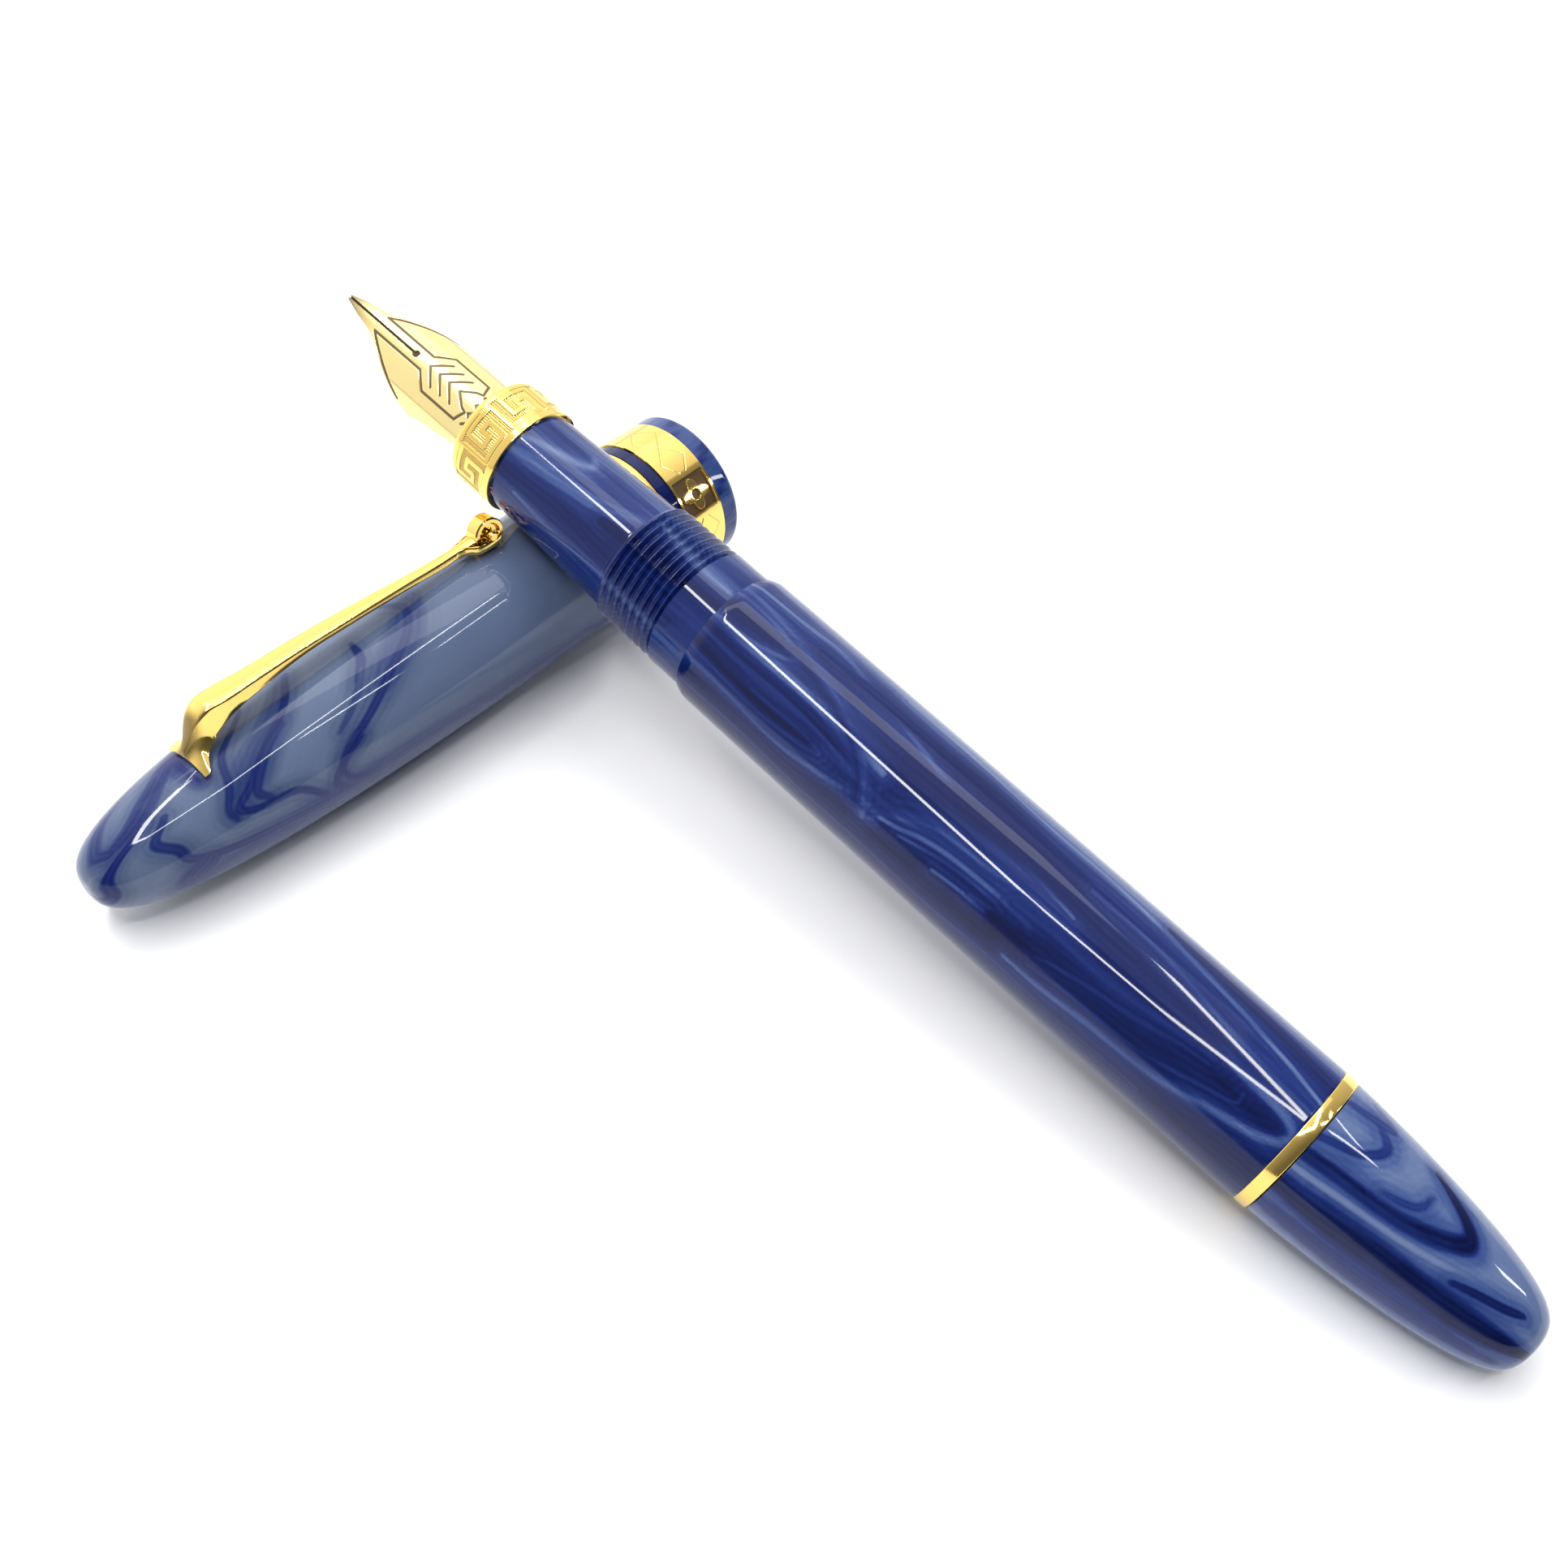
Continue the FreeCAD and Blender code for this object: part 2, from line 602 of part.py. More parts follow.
def make_inner_cap():
    """The liner that seals round the ring's front and keeps the nib from drying."""
    profile = [
        (INNER_CAP_FRONT + FIT, INNER_CAP_RADIUS),
        (INNER_CAP_STEP, INNER_CAP_RADIUS),
        (INNER_CAP_STEP, INNER_CAP_TAIL_RADIUS),
        (INNER_CAP_END, INNER_CAP_TAIL_RADIUS),
        (INNER_CAP_END, 0),
        (INNER_CAP_END - 1.2, 0),
        (INNER_CAP_END - 1.2, 2.0),
        (INNER_CAP_STEP - 3, 4.55),
        (INNER_CAP_FRONT + FIT, 4.55),
    ]
    return turned_polygon(profile)


def tang_slot(bottom, top):
    """The space kept round the clip's tang, so that the clip can flex."""
    half_length = TANG_LENGTH / 2 + TANG_CLEARANCE
    half_width = TANG_WIDTH / 2 + TANG_CLEARANCE
    stations = (CLIP_PIVOT_STATION - half_length, CLIP_PIVOT_STATION + half_length)
    return block(stations, (-half_width, half_width), (bottom, top))


def make_clip_anchor():
    """The metal slug in the crown that holds the clip's tang, tapped for its screw."""
    slug = rod(SCREW_POCKET_END, ANCHOR_END, ANCHOR_RADIUS)
    screw_hole = rod(SCREW_POCKET_END, SCREW_POCKET_END + 3.0, 0.8)
    return cut_all(slug, [tang_slot(TANG_BOTTOM - 0.3, 4), screw_hole])


def make_clip_screw():
    """The screw in the anchor's mouth, driven from inside the cap."""
    head = rod(INNER_CAP_END + 0.2, SCREW_POCKET_END - FIT, 2.0)
    shank = rod(SCREW_POCKET_END - FIT, SCREW_POCKET_END + 2.8, 0.78)
    slot = block((INNER_CAP_END, INNER_CAP_END + 0.7), (-0.25, 0.25), (-3, 3))
    return head.fuse(shank).cut(slot)


# ---- clip ----

def clip_side_profile():
    """The clip seen from the side, as thick as its web: a wedge at the root and a thin arched blade."""
    points = CLIP_TOP + CLIP_UNDER
    wire = Part.makePolygon([at(point) for point in points + points[:1]])
    solid = Part.Face(wire).extrude(FreeCAD.Vector(0, 12, 0))
    solid.translate(FreeCAD.Vector(0, -6, 0))
    return solid


def clip_plan_profile():
    """The clip seen from above: wide at the root, narrow at the neck."""
    near = [FreeCAD.Vector(x, y, 0) for x, y in CLIP_PLAN]
    far = [FreeCAD.Vector(x, -y, 0) for x, y in reversed(CLIP_PLAN)]
    solid = Part.Face(Part.makePolygon(near + far + near[:1])).extrude(FreeCAD.Vector(0, 0, 12))
    return solid


def roller_height():
    return cap_radius(ROLLER_STATION) + ROLLER_RADIUS + ROLLER_LIFT


def across(y_start, y_end, radius):
    """A disc or pin that lies across the clip at the roller's axis."""
    start = FreeCAD.Vector(ROLLER_STATION, y_start, roller_height())
    return Part.makeCylinder(radius, y_end - y_start, start, Y_AXIS)


def clip_cheek(side):
    """One side of the fork: an eyelet for the pin and the flared arm that joins it to the blade."""
    inner = ROLLER_WIDTH / 2 + CHEEK_GAP
    outer = inner + CHEEK_THICKNESS
    low, high = sorted((side * inner, side * outer))
    eyelet = across(low, high, CHEEK_RADIUS)
    neck = [(27.4, 0.2), (28.6, 0.2), (28.6, 0.75), (27.0, outer)]
    neck += [(ROLLER_STATION, outer), (ROLLER_STATION, inner), (26.4, inner)]
    corners = [FreeCAD.Vector(x, side * y, 0) for x, y in neck]
    arm = Part.Face(Part.makePolygon(corners + corners[:1])).extrude(FreeCAD.Vector(0, 0, 1.5))
    arm.translate(FreeCAD.Vector(0, 0, roller_height() - 0.75))
    return eyelet.fuse(arm.cut(across(-inner, inner, ROLLER_RADIUS + 0.15)))


def clip_foot():
    """The saddle that sits round the cap at the clip's root."""
    start, end = CLIP_FOOT
    inner_start = cap_radius(start) + CLIP_FOOT_GAP
    inner_end = cap_radius(end) + CLIP_FOOT_GAP
    corners = [(start, inner_start), (end, inner_end), (end, inner_end + CLIP_FOOT_THICKNESS)]
    corners.append((start, inner_start + CLIP_FOOT_THICKNESS))
    face = Part.Face(Part.makePolygon([at(point) for point in corners + corners[:1]]))
    face.rotate(ORIGIN, X_AXIS, -CLIP_FOOT_HALF_ANGLE)
    return face.revolve(ORIGIN, X_AXIS, 2 * CLIP_FOOT_HALF_ANGLE)


def make_clip():
    """The sprung clip: wedge root on a saddle, tapering blade, forked end and the tang inside the crown."""
    blade = clip_side_profile().common(clip_plan_profile())
    half = TANG_LENGTH / 2
    stations = (CLIP_PIVOT_STATION - half, CLIP_PIVOT_STATION + half)
    tang = block(stations, (-TANG_WIDTH / 2, TANG_WIDTH / 2), (TANG_BOTTOM, 6.9))
    web = block((56.6, 57.9), (-2.0, 2.0), (6.0, 7.0))
    body = blade.fuse([clip_foot(), tang, web, clip_cheek(1), clip_cheek(-1)])
    return body.cut(across(-3, 3, PIN_RADIUS + FIT)).removeSplitter()


def make_roller_pin():
    half = ROLLER_WIDTH / 2 + CHEEK_GAP + CHEEK_THICKNESS
    shank = across(-half, half, PIN_RADIUS)
    heads = [across(half, half + 0.15, PIN_HEAD_RADIUS), across(-half - 0.15, -half, PIN_HEAD_RADIUS)]
    return shank.fuse(heads)


def make_clip_roller():
    wheel = across(-ROLLER_WIDTH / 2, ROLLER_WIDTH / 2, ROLLER_RADIUS)
    return wheel.cut(across(-ROLLER_WIDTH, ROLLER_WIDTH, PIN_RADIUS + SLIP))


# ---- how the pen and the cap lie ----

def lowest(radius_at, start, end, tilt):
    """How far the lowest point of a tilted turned piece lies below its axis at station 0."""
    count = 400
    stations = [start + (end - start) * index / count for index in range(count + 1)]
    return max(s * math.sin(tilt) + radius_at(s) * math.cos(tilt) for s in stations)


def bisect(error, low, high):
    """Where a falling error crosses nought."""
    for _ in range(50):
        middle = (low + high) / 2
        if error(middle) > 0:
            low = middle
        else:
            high = middle
    return (low + high) / 2


def find_cap_tilt():
    """The cap rests on its wide band and on the back of its tube, so it dips towards the crown."""

    def error(tilt):
        band = BAND_END * math.sin(tilt) + BAND_REAR_RADIUS * math.cos(tilt)
        return band - lowest(cap_radius, TUBE_SWELL_END, CAP_LENGTH, tilt)
    return bisect(error, 0.0, 0.1)


CAP_TILT = find_cap_tilt()
CAP_AXIS_HEIGHT = BAND_END * math.sin(CAP_TILT) + BAND_REAR_RADIUS * math.cos(CAP_TILT)


def pen_axis_height(tilt):
    """Height of the pen's axis at the nib's point when the knob touches the table."""
    return lowest(knob_radius, TRIM_END, PEN_LENGTH, tilt)


def find_pen_tilt():
    """The pen leans from the table over the cap's top, where its grip clears the cap by the resting gap."""
    cap_height = CAP_AXIS_HEIGHT - CROSSING_ON_CAP * math.sin(CAP_TILT)

    def error(tilt):
        axis_height = pen_axis_height(tilt) - CROSSING_ON_PEN * math.sin(tilt)
        return AXES_APART * math.cos(tilt) * math.cos(CAP_TILT) - (axis_height - cap_height)
    return bisect(error, 0.05, 0.3)


AXES_APART = cap_radius(CROSSING_ON_CAP) + grip_radius(CROSSING_ON_PEN) + RESTING_GAP
PEN_TILT = find_pen_tilt()
CAP_X = CROSSING_ON_PEN * math.cos(PEN_TILT) - AXES_APART * math.sin(PEN_TILT) * math.cos(CAP_TILT)
CAP_Y = CROSSING_ON_CAP * math.cos(CAP_TILT) + AXES_APART * math.cos(PEN_TILT) * math.sin(CAP_TILT)


def pen_placement(roll):
    """Local pen axis to the row: rolled, tilted down to the tail, and lifted."""
    rolled = FreeCAD.Rotation(X_AXIS, roll)
    tilted = FreeCAD.Rotation(Y_AXIS, math.degrees(PEN_TILT))
    return FreeCAD.Placement(FreeCAD.Vector(0, 0, pen_axis_height(PEN_TILT)), tilted.multiply(rolled))


def cap_placement():
    """Local cap axis to the row: lip towards +Y, clip rolled towards the nib, crown dipped."""
    turned_round = FreeCAD.Rotation(Z_AXIS, -90)
    dipped = FreeCAD.Rotation(Y_AXIS, math.degrees(CAP_TILT))
    rolled = FreeCAD.Rotation(X_AXIS, CLIP_ROLL)
    lip_centre = FreeCAD.Vector(CAP_X, CAP_Y, CAP_AXIS_HEIGHT)
    return FreeCAD.Placement(lip_centre, turned_round.multiply(dipped).multiply(rolled))


PEN_MAKERS = {
    "nib_tipping": make_nib_tipping,
    "feed": make_feed,
    "nib": make_nib,
    "nib_housing": make_nib_housing,
    "section_ring": make_section_ring,
    "section": make_section,
    "section_seal": make_section_seal,
    "barrel": make_barrel,
    "barrel_trim_ring": make_barrel_trim_ring,
    "guide_bush": make_guide_bush,
    "knob_seal": make_knob_seal,
    "knob_snap_ring": make_knob_snap_ring,
    "piston_knob": make_piston_knob,
    "spindle": make_spindle,
    "piston_rod": make_piston_rod,
    "piston_seal": make_piston_seal,
}
CAP_MAKERS = {
    "cap_lip_ring": make_cap_lip_ring,
    "cap_band_wide": make_cap_band_wide,
    "cap_spacer_ring": make_cap_spacer_ring,
    "cap_band_thin": make_cap_band_thin,
    "cap_shell": make_cap_shell,
    "inner_cap": make_inner_cap,
    "clip_anchor": make_clip_anchor,
    "clip_screw": make_clip_screw,
    "clip": make_clip,
    "roller_pin": make_roller_pin,
    "clip_roller": make_clip_roller,
}


def placed(maker, placement):
    shape = maker()
    if len(shape.Solids) == 1:
        shape = shape.Solids[0]
    shape.Placement = placement.multiply(shape.Placement)
    return shape


def build():
    """Every node's shape in the row frame, and the shift that puts the origin under the middle."""
    shapes = {name: placed(maker, pen_placement(NIB_ROLL)) for name, maker in PEN_MAKERS.items()}
    shapes.update({name: placed(maker, cap_placement()) for name, maker in CAP_MAKERS.items()})
    box = Part.makeCompound(list(shapes.values())).optimalBoundingBox(False)
    shift = FreeCAD.Vector(-box.Center.x, -box.Center.y, -box.ZMin)
    for shape in shapes.values():
        shape.translate(shift)
    return shapes, shift


SHAPES, SHIFT = build()
os.makedirs("parts", exist_ok=True)
for node, shape in SHAPES.items():
    shape.exportStep(f"parts/{node}.step")
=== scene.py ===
import json
import math

import bmesh
import bpy
import numpy as np
from mathutils import Matrix, Vector


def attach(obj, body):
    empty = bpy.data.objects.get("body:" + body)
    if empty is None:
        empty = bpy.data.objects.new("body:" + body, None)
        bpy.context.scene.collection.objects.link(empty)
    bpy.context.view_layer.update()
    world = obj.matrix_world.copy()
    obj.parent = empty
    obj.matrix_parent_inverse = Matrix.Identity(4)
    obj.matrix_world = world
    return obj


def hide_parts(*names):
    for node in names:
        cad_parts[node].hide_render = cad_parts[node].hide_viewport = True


# The looks of the fountain pen. Stations and sizes are in millimetres and turned into metres at the end.
# Pen stations run from the nib's point to the tail, cap stations from the lip to the crown.
# Angles round a piece are counted from its upper side (local +Z) towards its local +Y.
# A nose is (start, end, radius at its start, power, exponent).

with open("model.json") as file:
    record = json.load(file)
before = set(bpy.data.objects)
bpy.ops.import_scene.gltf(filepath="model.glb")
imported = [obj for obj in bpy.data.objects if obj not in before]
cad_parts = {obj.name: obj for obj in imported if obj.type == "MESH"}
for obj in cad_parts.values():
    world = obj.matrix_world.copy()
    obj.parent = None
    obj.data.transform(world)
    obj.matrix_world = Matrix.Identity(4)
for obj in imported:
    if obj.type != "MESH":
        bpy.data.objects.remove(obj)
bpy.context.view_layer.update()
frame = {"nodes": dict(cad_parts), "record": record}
record = frame["record"]

MM = 0.001

# ---- pen ----
NIB_ROLL = 20.0
CLIP_ROLL = 12.0
KNOB_STATION = 120.0
RING_FRONT = 19.3
RING_REAR = 24.36
RING_RADIUS = 5.32
GRIP_FRONT_RADIUS = 4.96
GRIP_REAR_RADIUS = 5.5
THREAD_START = 38.6
THREAD_END = 45.1
THREAD_PITCH = 0.85
THREAD_DEPTH = 0.4
LAND_START = 45.4
LAND_RADIUS = 5.97
STEP = 49.24
STEP_RADIUS = 6.19
STEP_SHOULDER = 1.1
BARREL_END = 110.99
BARREL_RADII = (6.44, 6.597, 6.589)
TRIM_END = 112.18
TRIM_RADIUS = 6.6
PEN_LENGTH = 134.0
RING_MOUTH = 4.15
RING_BORE = 4.7
SECTION_BORE = 4.6
BARREL_BORES = (5.3, 5.4)
KNOB_BORE = 5.1
KNOB_POCKET_END = 118.0
KNOB_GAP = 0.1
KNOB_NOSE = (TRIM_END, PEN_LENGTH, 6.494, 1.235, 0.2637)

# ---- nib ----
NIB_REAR = 21.0
NIB_SHELL_RADIUS = 4.5
NIB_TIP_HEIGHT = 1.6
NIB_SLOPE = 2.2
NIB_THICKNESS = 0.3
NIB_SIDE = [(0.0, 0.24), (1.6, 0.7), (4.7, 1.5), (7.7, 3.1), (10.7, 4.1), (12.1, 4.3)]
NIB_BODY = [(12.1, 4.3), (12.35, 4.16), (19.9, 3.55), (21.0, 3.5)]
BREATHER = (9.4, 0.36)  # station and radius
ENGRAVING_DEPTH = 0.03
SLIT_DEPTH = 0.27

# ---- cap ----
MOUTH_STATION = 2.55
LIP_END = 2.11
LIP_RADIUS = 7.4
BAND_END = 6.68
BAND_RADII = (7.42, 7.53)
SPACER_END = 7.9
SPACER_RADIUS = 7.36
THIN_BAND_END = 8.8
THIN_BAND_RADIUS = 7.45
BAND_BORE = 6.7
SPIGOT_START = 1.1
SPIGOT_RADIUS = 6.6
MOUTH_RADIUS = 6.05
CAP_THREAD = (4.2, 10.8)
CAP_THREAD_ROOT = 5.95
CAP_THREAD_DEPTH = 0.42
CAP_BORE = [(54.0, 0.0), (54.0, 4.2), (30.0, 5.6), (11.0, 5.6)]
TUBE_RADIUS = 6.925
TUBE_SWELL_END = 21.75
CAP_LENGTH = 69.63
CROWN_NOSE = (TUBE_SWELL_END, CAP_LENGTH, TUBE_RADIUS, 2.482, 0.3253)

# ---- clip ----
ROLLER_RADIUS = 1.6
ROLLER_WIDTH = 1.5
ROLLER_BEVEL = 0.12
ROLLER_DISH = (0.5, 0.95, 1.15, 0.3)  # radii of its bore, floor and rim, and its depth
PIN_RADIUS = 0.42
PIN_REACH = 0.6


# ---- where the pen and the cap lie ----

def joint(name):
    return next(item for item in record["behaviour"]["joints"] if item["name"] == name)


def mount(name):
    return next(item for item in record["mounts"] if item["name"] == name)


def placement(origin, along, up):
    """The matrix from a piece's own axes (X along it, Z its upper side) to the shared frame."""
    side = up.cross(along).normalized()
    up = along.cross(side)
    rotation = Matrix((along, side, up)).transposed().to_4x4()
    return Matrix.Translation(origin) @ rotation


def pen_placement():
    turn = joint("knob_turn")
    along = Vector(turn["axis"]).normalized()
    origin = Vector(turn["pos_m"]) - along * KNOB_STATION * MM
    upright = placement(origin, along, Vector((0, 0, 1)))
    return upright @ Matrix.Rotation(math.radians(NIB_ROLL), 4, "X")


def cap_placement():
    mouth = mount("cap_mouth")
    along = -Vector(mouth["axis"]).normalized()
    across = Vector(joint("clip_flex")["axis"]).normalized()
    origin = Vector(mouth["pos_m"]) - along * MOUTH_STATION * MM
    return placement(origin, along, along.cross(across))


PEN = pen_placement()
CAP = cap_placement()


# ---- curves and profiles ----

def nose_radius(station, nose):
    """Radius of a rounded end that leaves a tube at its start and closes on the axis at its end."""
    start, end, radius, power, exponent = nose
    along = np.clip((station - start) / (end - start), 0, 1)
    return radius * (1 - along ** power) ** exponent


def nose_stations(nose, count):
    """Stations of a rounded end, closer together towards the axis."""
    start, end, _, power, _ = nose
    return start + (end - start) * np.sin(np.linspace(0, math.pi / 2, count)) ** (2 / power)


def barrel_radius(station):
    """The barrel's slight swell: a curve through its radii at the front, the middle and the rear."""
    along = (station - STEP) / (BARREL_END - STEP)
    front, middle, rear = BARREL_RADII
    return (
        front * (1 - along) * (1 - 2 * along)
        + middle * 4 * along * (1 - along)
        + rear * along * (2 * along - 1)
    )


def cap_radius(station):
    """Outside of the cap's tube from the thin band to the crown."""
    along = np.clip((TUBE_SWELL_END - station) / (TUBE_SWELL_END - BAND_END), 0, 1)
    swell = TUBE_RADIUS + (BAND_RADII[1] - TUBE_RADIUS) * along ** 2
    return np.where(station < TUBE_SWELL_END, swell, nose_radius(station, CROWN_NOSE))


def grip_radius(station):
    along = np.clip((station - RING_REAR) / (THREAD_START - RING_REAR), 0, 1)
    return GRIP_FRONT_RADIUS + (GRIP_REAR_RADIUS - GRIP_FRONT_RADIUS) * along ** 1.4


def smooth(low, high, value):
    """0 below low, 1 above high, and a smooth step between."""
    along = np.clip((value - low) / (high - low), 0, 1)
    return along * along * (3 - 2 * along)


def blend_points(points, at):
    """A smooth curve through (position, value) points, read at the given positions."""
    known = np.array(points, float)
    slopes = np.gradient(known[:, 1], known[:, 0])
    index = np.clip(np.searchsorted(known[:, 0], at) - 1, 0, len(known) - 2)
    left, right = known[index], known[index + 1]
    width = right[..., 0] - left[..., 0]
    along = np.clip((at - left[..., 0]) / width, 0, 1)
    square, cube = along ** 2, along ** 3
    return (
        (2 * cube - 3 * square + 1) * left[..., 1]
        + (cube - 2 * square + along) * width * slopes[index]
        + (3 * square - 2 * cube) * right[..., 1]
        + (cube - square) * width * slopes[index + 1]
    )


def segment_distance(x, y, start, end):
    """Distance of every (x, y) to a straight line between two points."""
    run = np.array(end, float) - np.array(start, float)
    along = np.clip(((x - start[0]) * run[0] + (y - start[1]) * run[1]) / (run @ run), 0, 1)
    return np.hypot(x - start[0] - along * run[0], y - start[1] - along * run[1])


def path_distance(x, y, path):
    """Distance of every (x, y) to a line through points."""
    return np.minimum.reduce([segment_distance(x, y, a, b) for a, b in zip(path, path[1:])])


# ---- meshes ----

def grid_faces(rows, columns, closed_rows, closed_columns):
    """Quads of a grid of points that may join up with itself either way."""
    row = np.arange(rows if closed_rows else rows - 1)
    column = np.arange(columns if closed_columns else columns - 1)
    row, column = np.meshgrid(row, column, indexing="ij")
    next_row = (row + 1) % rows
    next_column = (column + 1) % columns
    corners = (row * columns + column, next_row * columns + column,
               next_row * columns + next_column, row * columns + next_column)
    return np.stack([corner.ravel() for corner in corners], axis=1)


def make_piece(name, lay, points, faces, ink_and_shade=None, tone=None, crease=35):
    """A mesh piece. Its points are in its own axes; they are also kept on it for the materials to read."""
    mesh = bpy.data.meshes.new(name)
    flat = points.reshape(-1, 3)
    world = flat * MM @ np.array(lay.to_3x3()).T + np.array(lay.translation)
    mesh.from_pydata(world.tolist(), [], [list(face) for face in faces])
    own = mesh.attributes.new("own_place", "FLOAT_VECTOR", "POINT")
    own.data.foreach_set("vector", flat.astype(np.float32).ravel())
    # The first of these is painted dark for the gold: ink and painted shade in cuts, and painted dark
    # reflections.
    for kind, values in (("ink_and_shade", ink_and_shade), ("tone", tone)):
        if values is not None:
            kept = mesh.attributes.new(kind, "FLOAT", "POINT")
            kept.data.foreach_set("value", np.ravel(values).astype(np.float32))
    mesh.polygons.foreach_set("use_smooth", np.ones(len(mesh.polygons), bool))
    mesh.set_sharp_from_angle(angle=math.radians(crease))
    mesh.validate()
    mesh.update()
    piece = bpy.data.objects.new(name, mesh)
    bpy.context.scene.collection.objects.link(piece)
    return piece


def dress(piece, material, body, slot_name, *nodes):
    """Gives a piece its material and the body it rides on, and hides the CAD nodes it stands for; its slot
    name is not used.
    """
    piece.data.materials.append(material)
    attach(piece, body)
    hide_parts(*nodes)
    return piece


def turned(name, lay, stations, radii, segments=256, relief=None, pattern=None, ends="tube"):
    """A piece turned about its own X axis.

    relief(station, angle, radius) gives how far the skin stands out and how dark it is painted there (ink and
    painted shade in its cuts), and pattern(station, angle) how light its resin is. A tube's outline joins up
    with itself; a nose's outline begins and ends on the axis.
    """
    angle = np.arange(segments) * 2 * math.pi / segments
    station = np.repeat(np.array(stations, float)[:, None], segments, axis=1)
    radius = np.repeat(np.array(radii, float)[:, None], segments, axis=1)
    around = np.broadcast_to(angle, station.shape)
    ink_and_shade = np.zeros_like(radius)
    if relief:
        lift, ink_and_shade = relief(station, around, radius)
        radius = radius + lift
    tone = pattern(station, around) if pattern else None
    points = np.stack([station, radius * np.sin(angle), radius * np.cos(angle)], axis=2)
    faces = grid_faces(len(stations), segments, ends == "tube", True)
    piece = make_piece(name, lay, points, faces, ink_and_shade, tone)
    if ends == "nose":
        weld(piece)
    return piece


def weld(piece):
    """Joins points that lie on one another, such as those where an outline meets the axis."""
    mesh = bmesh.new()
    mesh.from_mesh(piece.data)
    bmesh.ops.remove_doubles(mesh, verts=mesh.verts, dist=1e-7)
    mesh.to_mesh(piece.data)
    mesh.free()


def joined(*runs):
    """Stations and radii of an outline from runs of (station, radius) pairs or (stations, radii) arrays."""
    stations, radii = [], []
    for station, radius in runs:
        station = np.atleast_1d(np.array(station, float))
        stations.append(station)
        radii.append(np.broadcast_to(np.array(radius, float), station.shape))
    return np.concatenate(stations), np.concatenate(radii)


def rounded(centre_station, centre_radius, size, start, end, count=6):
    """A rounded corner: an arc in the outline, with angles in degrees from +station towards +radius."""
    angle = np.radians(np.linspace(start, end, count))
    return centre_station + size * np.cos(angle), centre_radius + size * np.sin(angle)


# ---- materials ----

def set_stops(ramp, stops):
    """Gives a ramp node its (position, colour) stops."""
    elements = ramp.color_ramp.elements
    while len(elements) < len(stops):
        elements.new(0.5)
    for element, (position, colour) in zip(elements, stops):
        element.position = position
        element.color = (*colour, 1)


class Graph:
    """A material's nodes, with short ways to add and join them."""

    def __init__(self, name):
        self.material = bpy.data.materials.new(name)
        self.material.use_nodes = True
        self.tree = self.material.node_tree
        self.shader = self.tree.nodes["Principled BSDF"]

    def node(self, kind, inputs=None, **settings):
        made = self.tree.nodes.new(kind)
        for key, value in settings.items():
            setattr(made, key, value)
        for key, value in (inputs or {}).items():
            self.feed(made.inputs[key], value)
        return made

    def feed(self, socket, value):
        if isinstance(value, bpy.types.NodeSocket):
            self.tree.links.new(value, socket)
        else:
            socket.default_value = value

    def shade(self, **inputs):
        for key, value in inputs.items():
            self.feed(self.shader.inputs[key.replace("_", " ")], value)

    def read(self, name, what="Vector"):
        return self.node("ShaderNodeAttribute", attribute_name=name).outputs[what]

    def calc(self, operation, first, second=0.0, third=0.0):
        made = self.node("ShaderNodeMath", operation=operation)
        for socket, value in zip(made.inputs, (first, second, third)):
            self.feed(socket, value)
        return made.outputs[0]

    def vector(self, operation, first, second):
        return self.node("ShaderNodeVectorMath", {0: first, 1: second}, operation=operation).outputs[0]

    def noise(self, place, scale, detail, roughness):
        inputs = {"Vector": place, "Scale": scale, "Detail": detail, "Roughness": roughness}
        return self.node("ShaderNodeTexNoise", inputs).outputs["Fac"]

    def ramp(self, factor, stops):
        made = self.node("ShaderNodeValToRGB", {"Fac": factor})
        set_stops(made, stops)
        return made.outputs["Color"]

    def mix(self, factor, first, second):
        made = self.node("ShaderNodeMix", data_type="RGBA")
        self.feed(made.inputs[0], factor)
        self.feed(made.inputs[6], first)
        self.feed(made.inputs[7], second)
        return made.outputs[2]

    def bump(self, height, strength, distance):
        inputs = {"Height": height, "Strength": strength, "Distance": distance}
        return self.node("ShaderNodeBump", inputs).outputs["Normal"]


def light_value(level):
    """A colour level as it looks on screen (0 to 255), as the light value that the renderer uses."""
    if level <= 10:
        return level / 255 / 12.92
    return ((level / 255 + 0.055) / 1.055) ** 2.4


def linear(red, green, blue):
    """A colour given as it looks on screen, as light values."""
    return tuple(light_value(level) for level in (red, green, blue))


def resin(name, stops, grain, streaks, stretch):
    """Polished marbled resin: ribbons kept on the mesh, a few of them painted shade, with fine streaks and a
    grain where colours meet.
    """
    graph = Graph(name)
    place = graph.read("own_place")
    streak_place = graph.vector("MULTIPLY", place, stretch)
    streak = graph.noise(streak_place, scale=1.0, detail=3.0, roughness=0.55)
    streak = graph.calc("SUBTRACT", streak, 0.5)
    speck_place = graph.vector("MULTIPLY", place, (2.4, 4.0, 4.0))
    speck = graph.noise(speck_place, scale=1.6, detail=2.0, roughness=0.7)
    speck = graph.calc("SUBTRACT", speck, 0.5)
    tone = graph.read("tone", "Fac")
    tone = graph.calc("MULTIPLY_ADD", streak, streaks, tone)
    tone = graph.calc("MULTIPLY_ADD", speck, grain, tone)
    colour = graph.ramp(tone, stops)
    graph.shade(Base_Color=colour, Roughness=RESIN_ROUGHNESS, IOR=RESIN_IOR)
    return graph.material


RESIN_ROUGHNESS = 0.05
RESIN_IOR = 1.39
NAVY_DEEP = linear(3, 13, 60)
NAVY = linear(8, 25, 84)
INDIGO = linear(24, 44, 108)
PERIWINKLE = linear(62, 82, 134)
MIST = linear(102, 119, 156)
CAP_INK = linear(16, 30, 96)
CAP_SHADE = linear(52, 68, 112)
CAP_BASE = linear(88, 102, 131)
CAP_PALE = linear(105, 120, 152)


